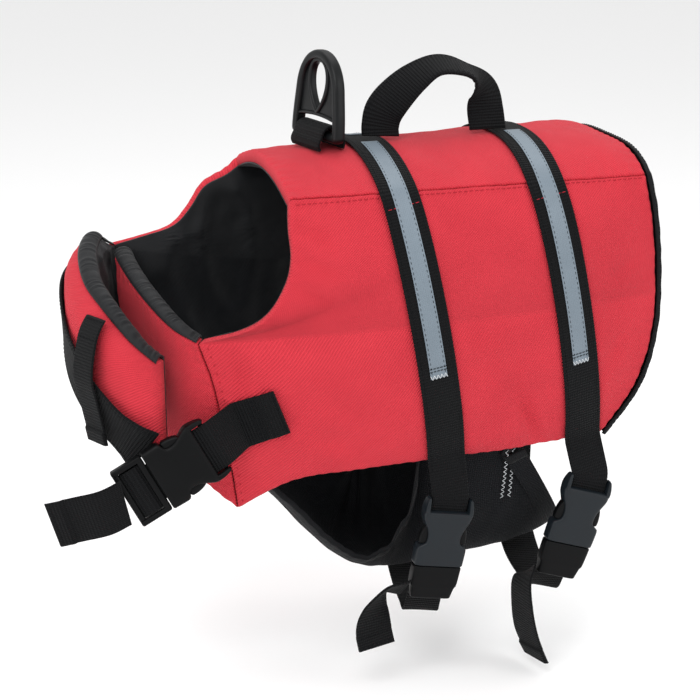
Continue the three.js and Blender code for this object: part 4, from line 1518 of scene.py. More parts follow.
def flap_relief(seed: int) -> Callable[[Array, Array, Array], Array]:
    """The relief of a chest flap: low waves only.

    Args:
        seed: The seed of its waves.

    Returns:
        A function of the face's points and both parameters.
    """

    def height(points: Array, _u: Array, _v: Array) -> Array:
        """Height at each place."""
        return 0.5 * ripple(points, 40, seed) + 0.25 * ripple(points, 18, seed + 1)

    return height


@dataclass
class Shell:
    """The red padded shell: back pad, two side pads and two chest flaps, with their sewing."""

    panels: dict[str, Panel] = field(default_factory=dict)

    def build(self) -> None:
        """Makes the five panels and their rows of stitches."""
        red = RED_OXFORD.build()
        pad = (PAD_EDGE, PAD_SWELL, PAD_HOLLOW)
        back = (BACK_EDGE, BACK_SWELL, BACK_HOLLOW)
        side_rolls = Rolls(start=2.6, stop=2.4, top=1.7, low=3.4)
        plans = (
            ("back_pad", BACK, back, (158, 104), Rolls(2.4, 2.4, 1.7, 1.7), back_relief, 0.5, 3),
            ("side_pad_near", NEAR, pad, (176, 134), side_rolls, side_relief(NEAR_CREASES, 5), 0.5, 7),
            ("side_pad_far", FAR, pad, (176, 134), side_rolls, side_relief(FAR_CREASES, 15), 0.5, 9),
            (
                "chest_flap_inner",
                INNER_FLAP,
                (INNER_FLAP.edge, INNER_FLAP.swell, INNER_FLAP.hollow),
                (114, 82),
                Rolls(1.5, 3.5, 1.4, 3.6),
                flap_relief(41),
                0.45,
                11,
            ),
            (
                "chest_flap_outer",
                OUTER_FLAP,
                (OUTER_FLAP.edge, OUTER_FLAP.swell, OUTER_FLAP.hollow),
                (122, 74),
                Rolls(1.5, 3.8, 1.4, 3.8),
                flap_relief(51),
                0.45,
                13,
            ),
        )
        for name, cut, depths, counts, rolls, relief, pucker, seed in plans:
            skin, panel = build_panel(cut, depths, counts, rolls, relief, pucker, seed)
            add_piece(name + "_cloth", skin, red, [name])
            self.panels[name] = panel
        self.sew()

    def sew(self) -> None:
        """Rows of red thread: beside both fold seams, and wide apart down the chest crease."""
        t = np.linspace(0.015, 0.985, 240)
        rows = []

        def row(name: str, u: Array, v: Array, **sizes: float) -> None:
            """Adds one row on a panel, through places given by both its parameters.

            Args:
                name: The panel.
                u: Places along it.
                v: Places down it.
                **sizes: The stitches' own sizes.
            """
            at, out = self.panels[name].at(u, v)
            wish = self.outside(name, at)
            out = out * np.sign((out * wish).sum(-1, keepdims=True))
            rows.append(sewn_line(at + out * 0.12, out, **sizes))

        for name in ("side_pad_near", "side_pad_far"):
            row(name, t, np.full_like(t, 0.016))
            row(name, np.full_like(t, 0.02), 0.45 + 0.54 * t, length=1.4, gap=4.6)
        add_piece("shell_stitches", joined(rows), RED_THREAD.build())

    @staticmethod
    def outside(name: str, at: Array) -> Array:
        """A rough direction out of the jacket at each point of a panel.

        Args:
            name: The panel.
            at: Its points.

        Returns:
            The directions.
        """
        if name == "back_pad":
            return np.broadcast_to(np.array([0.0, 0, 1]), at.shape)
        if name.startswith("side"):
            return at * np.array([0.0, 1, 0])
        return at * np.array([0.3, 1, 0])


# Linings


@dataclass
class Linings:
    """The black nylon inside: a skin behind each panel, and the gathered rims over both flaps' top edges."""

    thick: float = 0.9
    rim_rise: float = 3.5

    def build(self) -> None:
        """Makes the five skins and the two rims."""
        nylon = NYLON_LINING.build()
        parts = (
            ("lining_near", NEAR, PAD_EDGE, PAD_HOLLOW, 61),
            ("lining_far", FAR, PAD_EDGE, PAD_HOLLOW, 62),
            ("lining_back", BACK, BACK_EDGE, BACK_HOLLOW, 63),
            ("lining_flap_inner", INNER_FLAP, INNER_FLAP.edge, INNER_FLAP.hollow, 64),
            ("lining_flap_outer", OUTER_FLAP, OUTER_FLAP.edge, OUTER_FLAP.hollow, 65),
        )
        for name, cut, edge, hollow, seed in parts:
            self.add_skin(name, cut, edge, hollow, seed, nylon)
        for label, flap in (("inner", INNER_FLAP), ("outer", OUTER_FLAP)):
            self.add_rim(label, flap, nylon)

    def add_skin(
        self,
        name: str,
        cut: SidePad | BackPad | Flap,
        edge: float,
        hollow: float,
        seed: int,
        nylon: bpy.types.Material,
    ) -> None:
        """A thin skin behind a panel, with soft folds that fade at its edges.

        Args:
            name: The solid that it stands for.
            cut: The panel's shape.
            edge: The panel's thickness at its edge.
            hollow: How much deeper its inner face lies in the middle.
            seed: The seed of the folds.
            nylon: The lining's material.
        """
        u, v = np.meshgrid(graded(88), graded(72), indexing="ij")
        base = edge + hollow * fill(u, v) + SEAM
        plain = cut.point(u, v, base)
        inset = np.clip(12 * np.minimum.reduce([u, 1 - u, v, 1 - v]), 0, 1)
        fold = 1 - np.abs(ripple(plain * np.array([1.0, 1, 0.45]), 34, seed))
        folds = np.clip(fold - 0.45, 0, None) * 5.5 * inset + 0.5 * (1 + ripple(plain, 12, seed + 9)) * inset
        outer, inner = cut.point(u, v, base + folds), cut.point(u, v, base + folds + self.thick)
        s, _, t, _ = border_distances(plain)
        piece = add_piece(name + "_nylon", shell(outer, inner, stack(s, t)), nylon, [name])
        declare_sheet(piece, outer)

    def add_rim(self, label: str, flap: Flap, nylon: bpy.types.Material) -> None:
        """A rim of lining rolled over a flap's top edge: an arch across it, gathered in short waves.

        Args:
            label: Which flap.
            flap: The flap.
            nylon: The lining's material.
        """
        u = np.linspace(0, 1, 300)
        t = np.linspace(0, 1, 17)
        zero = np.zeros_like(u)
        start = flap.point(u, zero, np.full_like(u, -0.6))
        stop = flap.point(u, zero, np.full_like(u, flap.edge + SEAM + LINING_THICK))
        s = np.concatenate([[0], np.cumsum(np.linalg.norm(np.diff(start, axis=0), axis=1))])
        rise = self.rim_rise * np.minimum(0.3 + 5 * u, 1)
        drift = ripple(np.stack([s, 0 * s], -1), 19, 71)
        gather = 0.26 * np.sin(TURN * s / 7.4 + 3.2 * drift) + 0.2 * np.sin(TURN * s / 4.1 + 5 * drift)
        arch = np.sin(np.pi * t) ** 0.6
        lean = np.sin(TURN * s / 7.4 + 3.2 * drift + 1.2)[:, None] * 0.25 * arch

        def layer(drop: float) -> Array:
            """The arch's points, drawn in by a depth.

            Args:
                drop: The depth.

            Returns:
                The points, places along by places across.
            """
            high = 1.1 + (rise[:, None] + gather[:, None] * 0.8) * arch - drop
            across = start[:, None] + (stop - start)[:, None] * t[:, None]
            middle = unit(stop - start)[:, None]
            shrink = (np.cos(np.pi * t) * drop)[:, None]
            return across + middle * shrink + middle * lean[..., None] + stack(0, 0, high)

        rings = np.concatenate([layer(0), layer(0.8)[:, ::-1]], axis=1)
        width = np.linalg.norm(stop - start, axis=1).mean()
        flat = stack(np.concatenate([t, t[::-1]]) * width * 1.4, s[:, None])
        node_name = f"rim_flap_{label}"
        piece = add_piece(node_name + "_nylon", loft(rings, flat), nylon, [node_name])
        declare_sheet(piece, layer(0), slack=1.15)


def declare_sheet(
    piece: bpy.types.Object, face: Array, slack: float = 1.0
) -> None:
    """Logs the size that a sheet's face had when it was cut.

    Args:
        piece: The piece.
        face: A grid of points over one of its faces, in millimetres.
        slack: How much longer the cut is than the gathered face.
    """
    s, _, t, _ = border_distances(face)
    length, width = float(s[-1].max()) * slack, float(t[:, -1].max())
    along = np.linalg.norm(np.diff(face, axis=0), axis=2)[:, :-1]
    down = np.linalg.norm(np.diff(face, axis=1), axis=2)[:-1]
    low, high = sorted((length, width))
    LOG.info("%s: cut %.0f by %.0f mm", piece.name, low, high)


# Rear binding and belly panel


@dataclass
class Binding:
    """The black tape folded round the rear edge of both side pads and the back pad."""

    deep: float = 4.6
    proud: float = 0.9
    thick: float = 0.9

    def build(self) -> None:
        """Makes the tape, a wavy half ellipse carried along the edge, and its row of stitches."""
        edges = [self.side_edge(NEAR), self.back_edge(), self.side_edge(FAR, turned=True)]
        outer, inner, back = (np.concatenate([e[k] for e in edges]) for k in range(3))
        s = np.concatenate([[0], np.cumsum(np.linalg.norm(np.diff((outer + inner) / 2, axis=0), axis=1))])
        even = np.linspace(0, s[-1], 340)
        outer, inner, back = (
            np.stack([np.interp(even, s, values[:, k]) for k in range(3)], axis=1)
            for values in (outer, inner, back)
        )
        back = unit(back)
        drift = ripple(np.stack([even, 0 * even], -1), 30, 81)
        wave = 1 + 0.045 * np.sin(TURN * even / 14 + 2 * drift)
        t = np.linspace(0, np.pi, 15)

        def layer(drop: float) -> Array:
            """The half ellipse's points, drawn in by a depth.

            Args:
                drop: The depth.

            Returns:
                The points, places along by places across.
            """
            middle, half = (outer + inner) / 2, (outer - inner) / 2
            reach = np.linalg.norm(half, axis=1, keepdims=True)
            half = half * (1 - drop / reach) * (0.97 + 0.03 * wave[:, None])
            swell = np.sin(t) ** 0.75
            depth = (self.deep * wave)[:, None] * swell - drop * swell
            behind = back[:, None] * (SEAM + 0.1 + depth)[..., None]
            return middle[:, None] + half[:, None] * np.cos(t)[:, None] + behind

        rings = np.concatenate([layer(0), layer(self.thick)[:, ::-1]], axis=1)
        flat = stack(np.concatenate([t, t[::-1]]) / np.pi * BINDING_WIDTH, even[:, None])
        tape = BINDING_TAPE.build()
        piece = add_piece("rear_binding_tape", loft(rings, flat), tape, ["rear_binding"])
        declare_sheet(piece, layer(0))
        face = layer(0)
        out = unit(np.cross(np.gradient(face[:, 2], axis=0), np.gradient(face, axis=1)[:, 2]))
        out = out * np.sign((out * (outer - inner)).sum(-1, keepdims=True))
        stitches = sewn_line(face[4:-4, 2], out[4:-4], 2.4, 1.2)
        add_piece("binding_stitches", stitches, BLACK_THREAD.build())

    def side_edge(self, pad: SidePad, turned: bool = False) -> tuple[Array, Array, Array]:
        """The edge's outer and inner points on a side pad from hem to fold, and the direction backwards.

        Args:
            pad: The side pad.
            turned: True to run from the fold to the hem.

        Returns:
            The three sets of points.
        """
        v = np.linspace(0.995, 0.0, 160)
        one = np.ones_like(v)
        along = pad.place(one, np.minimum(v + 0.01, 1)) - pad.place(one, np.maximum(v - 0.01, 0))
        back = unit(stack(-along[:, 1], 0, along[:, 0]))
        back = back * np.where(back[:, :1] < 0, -1.0, 1.0)
        outer = pad.outer(one, v) - pad.inward(one, v) * self.proud
        inner = pad.inner(one, v, SEAM + LINING_THICK + self.proud)
        order = slice(None, None, -1 if turned else 1)
        return outer[order], inner[order], back[order]

    def back_edge(self) -> tuple[Array, Array, Array]:
        """The same over the back pad, from the near fold to the far one.

        Returns:
            The three sets of points.
        """
        v = np.linspace(0.03, 0.97, 120)
        one = np.ones_like(v)
        outer = BACK.outer(one, v) + np.array([0, 0, self.proud])
        inner = BACK.point(one, v, BACK_EDGE + SEAM + LINING_THICK + self.proud + 0 * v)
        return outer, inner, np.broadcast_to(np.array([1.0, 0, 0]), outer.shape)


@dataclass
class Belly:
    """The mesh hammock under the belly, bound at its free edges, with a pale zigzag down its near side."""

    thick: float = 1.5
    power: float = 2.6
    seated: float = -45
    blend: float = 25
    gap: float = 0.75
    band: float = 7.0
    seam_x: tuple[float, float] = (35.0, 40.5)
    seam_z: tuple[float, float] = (-178.0, -216.0)

    def __post_init__(self) -> None:
        """Makes the rows' own parameter and the keel's curve."""
        rows = BELLY_ROWS
        self.rows = {**rows, "t": np.linspace(0, 1, len(rows["x"]))}
        self.keel = Spline(np.stack([rows["x"], 0 * rows["x"], rows["z"]], axis=1))

    def lining_width(self, pad: SidePad, x: Array, z: Array) -> Array:
        """Half width at which the panel's edge lies against one side's lining.

        Args:
            pad: The side pad.
            x: Places along the body.
            z: Heights.

        Returns:
            The half widths.
        """

        def on(at_x: Array, at_z: Array) -> Array:
            """Points of the lining's face at places in X and Z."""
            return pad.inner(*pad.locate(at_x, at_z), SEAM + LINING_THICK)

        first = on(x, z)
        again = on(2 * x - first[:, 0], 2 * z - first[:, 2])
        return np.abs(again[:, 1]) - self.gap

    def half_at(self, u: Array, side: int, edge: Array) -> Array:
        """Half width of the panel on one side: free in front, and seated on the lining behind.

        Args:
            u: Places along the keel.
            side: -1 for the near side, 1 for the far one.
            edge: Points of the panel's edge.

        Returns:
            The half widths.
        """
        seated = np.clip((edge[:, 0] - self.seated) / self.blend, 0, 1)
        free = column(self.rows, "t", "half", u)
        sewn = self.lining_width(NEAR if side < 0 else FAR, edge[:, 0], edge[:, 2])
        return free + (sewn - free) * seated

    def points(self, u: Array, v: Array, depth: float | Array) -> Array:
        """Points of the panel at a depth above its underside.

        Args:
            u: Places along the keel, one for each row.
            v: Places across, one for each column.
            depth: The depth.

        Returns:
            Points, rows by columns.
        """
        place, along = self.keel.at(u), self.keel.tangent(u)
        up = unit(stack(along[:, 2], 0, -along[:, 0]))
        across = 2 * v - 1
        bend = np.abs(across) ** self.power
        near, far = (column(self.rows, "t", name, u) for name in ("near", "far"))
        half_near = self.half_at(u, -1, place + up * near[:, None])
        half_far = self.half_at(u, 1, place + up * far[:, None])
        left = across < 0
        rise = np.where(left, near[:, None], far[:, None])
        half = np.where(left, half_near[:, None], half_far[:, None])
        y = across * half * (0.9 + 0.1 * np.sqrt(np.abs(across)))
        share = np.minimum(bend * rise / 60, 1)
        level = stack(0, -np.sign(across), 0)
        size = y.shape + (3,)
        inward = unit(mix(np.broadcast_to(up[:, None], size), np.broadcast_to(level, size), share))
        base = place[:, None] + up[:, None] * (rise * bend)[..., None] + stack(0, y, 0)
        return base + inward * np.broadcast_to(depth, y.shape)[..., None]

    def build(self) -> None:
        """Makes the mesh cloth, its bound edges and its zigzag seam."""
        u, v = np.linspace(0, 1, 150), graded(96)
        plain = self.points(u, v, 0)
        s, _, t, _ = border_distances(plain)
        inset = np.clip(8 * np.minimum(v, 1 - v), 0, 1) * np.clip(12 * np.minimum(u, 1 - u), 0, 1)[:, None]
        slack = (1 + ripple(plain, 46, 91)) * 1.3 * inset + (1 + ripple(plain, 17, 92)) * 0.35 * inset
        skin = shell(self.points(u, v, slack), self.points(u, v, slack + self.thick), stack(s, t))
        piece = add_piece("belly_mesh", skin, BELLY_MESH.build(), ["belly_panel"])
        declare_sheet(piece, plain)
        self.bind_edges(u)
        self.sew_zigzag(plain)

    def bind_edges(self, u: Array) -> None:
        """Black tape folded over both side edges.

        Args:
            u: Places along the keel.
        """
        tape = BINDING_TAPE.build()
        depth_out, depth_in = -0.7, self.thick + 0.9
        depths = np.array([depth_out] * 5 + [0.0, self.thick] + [depth_in] * 5)
        away = np.array([self.band, 5.2, 3.4, 1.6, 0.2, -0.5, -0.5, 0.2, 1.6, 3.4, 5.2, self.band])
        drift = ripple(np.stack([u * 300, 0 * u], -1), 24, 93)
        for label, low in (("near", True), ("far", False)):
            fine = np.linspace(0, 0.25, 60) if low else np.linspace(1, 0.75, 60)
            grid = self.points(u, fine, 0)
            t = border_distances(grid)[2]
            rings = []
            for place, depth in zip(away, depths, strict=True):
                share = np.array([np.interp(max(place, 0), row, fine) for row in t])
                rings.append(self.edge_points(u, share, depth, min(place, 0)))
            ring = np.stack(rings, axis=1)
            ring = ring + stack(0, 0, 0.35 * np.sin(TURN * u * 300 / 9 + 2 * drift))[:, None]
            flat = stack(away + 8, border_distances(grid)[0][:, :1])
            skin = loft(self.thickened(ring), np.concatenate([flat, flat[:, ::-1]], axis=1))
            add_piece(f"belly_edge_{label}", skin, tape)

    def edge_points(self, u: Array, v: Array, depth: float, beyond: float) -> Array:
        """Points at one place across for each place along, moved past the edge where asked.

        Args:
            u: Places along the keel.
            v: One place across for each.
            depth: The depth above the underside.
            beyond: How far past the edge.

        Returns:
            The points.
        """
        grid = self.points(u, np.unique(np.concatenate([v, [0, 1]])), depth)
        order = np.searchsorted(np.unique(np.concatenate([v, [0, 1]])), v)
        at = grid[np.arange(len(u)), order]
        return at + np.array([0, 0, -beyond])

    @staticmethod
    def thickened(ring: Array) -> Array:
        """A folded tape's rings: the outer line round the edge, and the same moved in by 0.6 mm.

        Args:
            ring: The outer lines, one for each place along the edge.

        Returns:
            The closed rings.
        """
        middle = ring.mean(axis=1, keepdims=True)
        inner = ring + unit(middle - ring) * 0.6
        return np.concatenate([ring, inner[:, ::-1]], axis=1)

    def sew_zigzag(self, plain: Array) -> None:
        """Two columns of pale zigzag stitches down the near side.

        Args:
            plain: The panel's points without its slack.
        """
        near = slice(0, plain.shape[1] // 2)
        seams = []
        for x in self.seam_x:
            row = int(np.argmin(np.abs(plain[:, 4, 0] - x)))
            line = plain[row, near]
            z = np.linspace(*self.seam_z, 40)
            order = np.argsort(line[:, 2])
            y = np.interp(z, line[order, 2], line[order, 1])
            at = stack(x - 0.05 * (z - z[0]), y - 0.4, z)
            out = np.broadcast_to(np.array([0.0, -1, 0]), at.shape)
            across = np.broadcast_to(np.array([1.0, 0, 0]), at.shape)
            seams.append(zigzag(Run(at, across, out), 2.4, 1.9, 0.24))
        add_piece("belly_zigzag", joined(seams), WHITE_THREAD.build())


# Webbing


def on_side(pad: SidePad, x: Array, z: Array, across: Array) -> Run:
    """A run on a side pad's face through places in X and Z.

    Args:
        pad: The side pad.
        x: Places along the body.
        z: Heights.
        across: The rough direction of the strip's width.

    Returns:
        The run.
    """
    u, v = pad.locate(x, z)
    out = -pad.inward(u, v)
    across = np.broadcast_to(across, out.shape)
    return Run(pad.outer(u, v), unit(across - out * (across * out).sum(-1, keepdims=True)), out)


def on_back(x: Array, y: Array) -> Run:
    """A run on the back pad's face through places in X and Y.

    Args:
        x: Places along the body.
        y: Places across it.

    Returns:
        The run.
    """
    u, v = BACK.locate(x, y)
    out = -BACK.inward(u, v)
    return Run(BACK.outer(u, v), np.broadcast_to(np.array([1.0, 0, 0]), out.shape), out)


def chained(*runs: Run) -> Run:
    """One run from several, end to end."""
    return Run(*(np.concatenate([getattr(r, name) for r in runs]) for name in ("at", "across", "out")))


def reversed_run(run: Run) -> Run:
    """The same run from its other end."""
    return Run(run.at[::-1], run.across[::-1], run.out[::-1])


def free_run(rows: Table, count: int = 120) -> Run:
    """A run along free points, with the direction of its width given at each.

    Args:
        rows: Columns x, y and z, and where they differ from (1, 0, 0) also ax, ay and az.
        count: The number of places.

    Returns:
        The run.
    """
    path = Spline(np.stack([rows["x"], rows["y"], rows["z"]], axis=1))
    last = len(rows["x"]) - 1
    plain = {"ax": 1.0, "ay": 0.0, "az": 0.0}
    widths = {k: rows.get(k, np.full(last + 1, d)) for k, d in plain.items()}
    widths["t"] = np.linspace(0, 1, last + 1)
    t = np.linspace(0, 1, count)
    along = path.tangent(t)
    wish = np.stack([column(widths, "t", k, t) for k in plain], axis=1)
    across = unit(wish - along * (wish * along).sum(-1, keepdims=True))
    return Run(path.at(t), across, unit(np.cross(along, across)))


@dataclass
class Webbing:
    """Every strip of black webbing, the reflective tapes on the girth straps, and their sewing."""

    stitches: list[Skin] = field(default_factory=list)
    pale: list[Skin] = field(default_factory=list)
    red: list[Skin] = field(default_factory=list)
    threaded: float = 8.6

    def build(self) -> None:
        """Makes the girth straps, the chest strap and its parts, the ring's loop and the handle."""
        self.web = RIBBED_WEBBING.build()
        self.tape = REFLECTIVE_TAPE.build()
        for strap in GIRTH_STRAPS:
            self.add_girth_strap(strap)
            self.add_tapes(strap)
            self.add_under_strap(strap)
        self.add_chest()
        self.add_loop()
        self.add_handle()
        add_piece("webbing_stitches", joined(self.stitches), BLACK_THREAD.build())
        add_piece("tape_stitches", joined(self.pale), WHITE_THREAD.build())
        add_piece("fold_stitches", joined(self.red), RED_THREAD.build())

    def add_strip(
        self, name: str, run: Run, width: float, thick: float | Array, node_name: str
    ) -> bpy.types.Object:
        """Args:
            name: The piece's name.
            run: Its line.
            width: Its width.
            thick: Its thickness.
            node_name: The solid that it stands for.

        Returns:
            The piece.
        """
        piece = add_piece(name, run.strip(width, thick), self.web, [node_name])
        float(run.along[-1]) * MM
        LOG.info("%s: cut %.0f by %.0f mm", name, width, run.along[-1])
        return piece

    def side_run(self, pad: SidePad, strap: GirthStrap, lowest: float) -> Run:
        """A girth strap's run over one side, from its low end up to the fold.

        Args:
            pad: The side pad.
            strap: The strap.
            lowest: The height of the low end.

        Returns:
            The run.
        """
        z = np.linspace(lowest, FOLD_Z - 1.5, 130)
        x = strap.fold_x + strap.slant * (FOLD_Z - z)
        return on_side(pad, x, z, np.array([1.0, 0, strap.slant]))

    def add_girth_strap(self, strap: GirthStrap) -> None:
        """A girth strap from its buckle over the back to the far hem, with box stitches at both folds.

        Args:
            strap: The strap.
        """
        hem = -170
        place = strap.buckle
        near, far = self.side_run(NEAR, strap, hem), self.side_run(FAR, strap, hem)
        y = np.linspace(-(FOLD_HALF - 4), FOLD_HALF - 4, 110)
        reach = np.array([self.threaded, 3, -0.6])[:, None]
        end = Run(
            np.array(place.top, float) + place.along * reach - place.out * 0.8,
            np.repeat(-place.across[None], 3, axis=0),
            np.repeat(place.out[None], 3, axis=0),
        )
        low = np.array([strap.under["x"][0], strap.under["y"][0] + 1, strap.under["z"][0] + 0.8])
        last = Run(low[None], far.across[:1], far.out[:1])
        over = chained(near, on_back(np.full_like(y, strap.fold_x), y), reversed_run(far))
        run = chained(end, over, last).even(1.0).eased(EASED).even(1.4).lifted(WEB_LIFT + 0.25)
        name, node_name = f"girth_webbing_{strap.name}", f"girth_strap_{strap.name}"
        self.add_strip(name, run, WEB_WIDTH, WEB_THICK, node_name)
        top = run.lifted(WEB_THICK)
        for side in (-1, 1):
            edge = top.shifted(side * (WEB_WIDTH / 2 - 2.2)).part(26, -26).even(1.4)
            self.stitches.append(sewn_line(edge.at, edge.out, 2.4, 1.1, 0.2))
        for y_seam in (-FOLD_HALF, FOLD_HALF):
            here = int(np.argmin(np.abs(top.at[:, 1] - y_seam * 0.99) + np.abs(top.at[:, 2] + 5)))
            across = np.linspace(-WEB_WIDTH / 2 + 2, WEB_WIDTH / 2 - 2, 20)
            at = top.at[here] + top.across[here] * across[:, None] + top.out[here] * 0.1
            self.red.append(sewn_line(at, np.broadcast_to(top.out[here], at.shape), 2.4, 1.0, 0.24))

    def add_tapes(self, strap: GirthStrap) -> None:
        """The reflective tapes on both sides of a girth strap, with a pale zigzag at the low end.

        Args:
            strap: The strap.
        """
        for label, pad, sign in (("near", NEAR, -1), ("far", FAR, 1)):
            side = self.side_run(pad, strap, TAPE_END)
            y = np.linspace(sign * (FOLD_HALF - 4), sign * TAPE_SPINE, 60)
            run = chained(side, on_back(np.full_like(y, strap.fold_x), y)).even(1.0).eased(EASED)
            run = run.lifted(WEB_LIFT + 0.25 + WEB_THICK + 0.15)
            name = f"reflective_tape_{strap.name}_{label}"
            strip = run.strip(TAPE_WIDTH, TAPE_THICK)
            piece = add_piece(name, strip, self.tape, [f"tape_{strap.name}_{label}"])
            float(run.along[-1]) * MM
            top = run.lifted(TAPE_THICK)
            for edge in (-1, 1):
                line = top.shifted(edge * (TAPE_WIDTH / 2 - 1.1)).part(3, -3).even(1.4)
                self.stitches.append(sewn_line(line.at, line.out, 2.0, 1.3, 0.16))
            end = top.part(0.5, 3.5)
            bar = Run(
                end.at[:1] + end.across[:1] * np.linspace(-TAPE_WIDTH / 2, TAPE_WIDTH / 2, 12)[:, None],
                np.repeat(unit(np.gradient(end.at, axis=0))[:1], 12, axis=0),
                np.repeat(end.out[:1], 12, axis=0),
            )
            self.pale.append(zigzag(bar, 3.0, 1.1, 0.26))
            for away in (5.0, 7.0):
                mark = top.part(away, away + 1.2)
                at = mark.at[:1] + mark.across[:1] * np.linspace(-TAPE_WIDTH / 2, TAPE_WIDTH / 2, 12)[:, None]
                self.stitches.append(sewn_line(at, np.repeat(mark.out[:1], 12, axis=0), 1.6, 0.3, 0.3))

    def add_under_strap(self, strap: GirthStrap) -> None:
        """The loose strap under the belly and the free tail, whose end is folded back and sewn.

        Args:
            strap: The strap.
        """
        place = strap.buckle
        stop = np.array(place.bottom, float)
        behind = ((2.5, 7.5), (-4.5, 5.6), (-9.0, 2.6))
        ends = np.array([stop + place.along * gap - place.out * deep for gap, deep in behind])
        rows = {k: np.concatenate([strap.under[k][:-1], ends[:, i]]) for i, k in enumerate("xyz")}
        rows["az"] = np.concatenate([strap.under["az"][:-1], [0, 0, 0]])
        run = free_run(rows, 260).even(1.2)
        name = f"belly_webbing_{strap.name}"
        self.add_strip(name, run, WEB_WIDTH, WEB_THICK, f"belly_strap_{strap.name}")
        self.add_tail(f"tail_{strap.name}", free_run(strap.tail, 130), WEB_WIDTH)

    def add_tail(self, node_name: str, run: Run, width: float, hem: float = 12.0) -> None:
        """A free tail: its last stretch is folded back on itself and sewn in a box.

        Args:
            node_name: The solid that it stands for.
            run: Its line, towards the free end.
            width: Its width.
            hem: The length of the folded end.
        """
        run = run.even(0.8)
        left = run.along[-1] - run.along
        rise = np.clip((hem - left) / 1.2, 0, 1)
        tip = np.clip(left / 1.5, 0, 1)
        thick = (WEB_THICK + rise * WEB_THICK * 0.9) * (0.55 + 0.45 * np.sqrt(tip * (2 - tip)))
        self.add_strip(node_name + "_webbing", run, width, thick, node_name)
        for face, start in ((1, WEB_THICK * 1.9), (-1, 0.0)):
            top = run.lifted(start)
            across = np.linspace(-width / 2 + 2.5, width / 2 - 2.5, 14)[:, None]
            for away in (2.5, hem - 2.5):
                here = int(np.argmin(np.abs(left - away)))
                at = top.at[here] + top.across[here] * across
                out = np.broadcast_to(top.out[here] * face, at.shape)
                self.stitches.append(sewn_line(at, out, 2.2, 0.7, 0.22))

    def add_chest(self) -> None:
        """The chest strap, its tail, its stub on the near side pad, and the keeper tab."""
        rows = table("u v", (0.06, 0.5), (0.2, 0.52), (0.38, 0.58), (0.55, 0.68), (0.7, 0.77), (0.8, 0.83))
        path = Spline(np.stack([rows["u"], rows["v"], 0 * rows["u"]], axis=1))
        spot = path.at(np.linspace(0, 1, 150))
        u, v = spot[:, 0], spot[:, 1]
        at = OUTER_FLAP.outer(u, v)
        down = unit(OUTER_FLAP.outer(u, v + 0.01) - OUTER_FLAP.outer(u, v - 0.01))
        along = unit(np.gradient(at, axis=0))
        across = unit(down - along * (down * along).sum(-1, keepdims=True))
        on_flap = Run(at, across, -OUTER_FLAP.inward(u, v)).lifted(0.9)
        ends_at = np.array([(-213, -56.9, -145.5), (-206.5, -59, -150.5)], float)
        ends_across = unit(np.array([(-0.15, 0.45, -0.88), (-0.1, 0.25, -0.96)]))
        face = CHEST_BUCKLE.out
        ends_out = unit(face - ends_across * (ends_across @ face)[:, None])
        run = chained(on_flap, Run(ends_at, ends_across, ends_out)).even(1.0).eased(10)
        self.add_strip("chest_webbing", run, CHEST_WIDTH, WEB_THICK, "chest_strap")
        top = run.lifted(WEB_THICK)
        for side in (-1, 1):
            edge = top.shifted(side * 13.4).part(4, -4).even(1.4)
            self.stitches.append(sewn_line(edge.at, edge.out, 2.4, 1.1, 0.2))

        tail = table(
            "x y z ax ay az",
            (-223.7, -74, -177.2, 0.25, 0.15, -0.95),
            (-237, -77, -181, 0.25, 0.15, -0.95),
            (-252, -72, -185, 0.25, 0.15, -0.95),
            (-267, -66, -189, 0.25, 0.15, -0.95),
        )
        self.add_tail("tail_chest", free_run(tail, 90), CHEST_WIDTH, 11.0)
        self.add_turn()
        self.add_stub()
        self.add_keeper()

    def add_turn(self) -> None:
        """The chest strap's turn round the plug's bar: most of an ellipse, seen along the bar."""
        middle, long, short = CHEST_BUCKLE.length * 0.835, 6.0, 2.2
        angle = np.radians(np.linspace(-160, 165, 60))
        zero = np.zeros_like(angle)
        at = CHEST_BUCKLE.point(zero, middle + long * np.cos(angle), short * np.sin(angle))
        heart = CHEST_BUCKLE.point(zero, middle + zero, zero)
        across = np.broadcast_to(CHEST_BUCKLE.across, at.shape)
        run = Run(at, across, unit(at - heart)).even(0.6)
        piece = add_piece("chest_webbing_turn", run.strip(STUB_WIDTH, 1.4), self.web)
        float(run.along[-1]) * MM

    def add_stub(self) -> None:
        """The chest buckle's stub: webbing sewn down on the near side pad, its rear quarter doubled."""
        rear, leaves = np.array([-121.0, -130]), np.array([-146.0, -140])
        spots = rear + (leaves - rear) * np.linspace(0, 1, 30)[:, None]
        slope = (leaves - rear) / np.linalg.norm(leaves - rear)
        seat = on_side(NEAR, spots[:, 0], spots[:, 1], np.array([slope[1], 0, -slope[0]]))
        reach = np.array([-0.6, 3, self.threaded])[:, None]
        bar = np.array(CHEST_BUCKLE.top, float) + CHEST_BUCKLE.along * reach
        last = Run(bar, *(np.repeat(d[None], 3, axis=0) for d in (CHEST_BUCKLE.across, CHEST_BUCKLE.out)))
        run = chained(seat, last).even(0.8).eased(10).lifted(0.7)
        thick = WEB_THICK * (1 + 0.85 * np.clip((12 - run.along) / 1.2, 0, 1))
        self.add_strip("chest_stub_webbing", run, STUB_WIDTH, thick, "chest_stub")
        for away, height in ((1.6, 1.85), (10.2, 1.85), (15.0, 1.0), (17.5, 1.0)):
            here = int(np.argmin(np.abs(run.along - away)))
            top = run.lifted(WEB_THICK * height)
            at = top.at[here] + top.across[here] * np.linspace(-14, 14, 18)[:, None]
            self.stitches.append(sewn_line(at, np.broadcast_to(top.out[here], at.shape), 2.3, 0.8, 0.24))

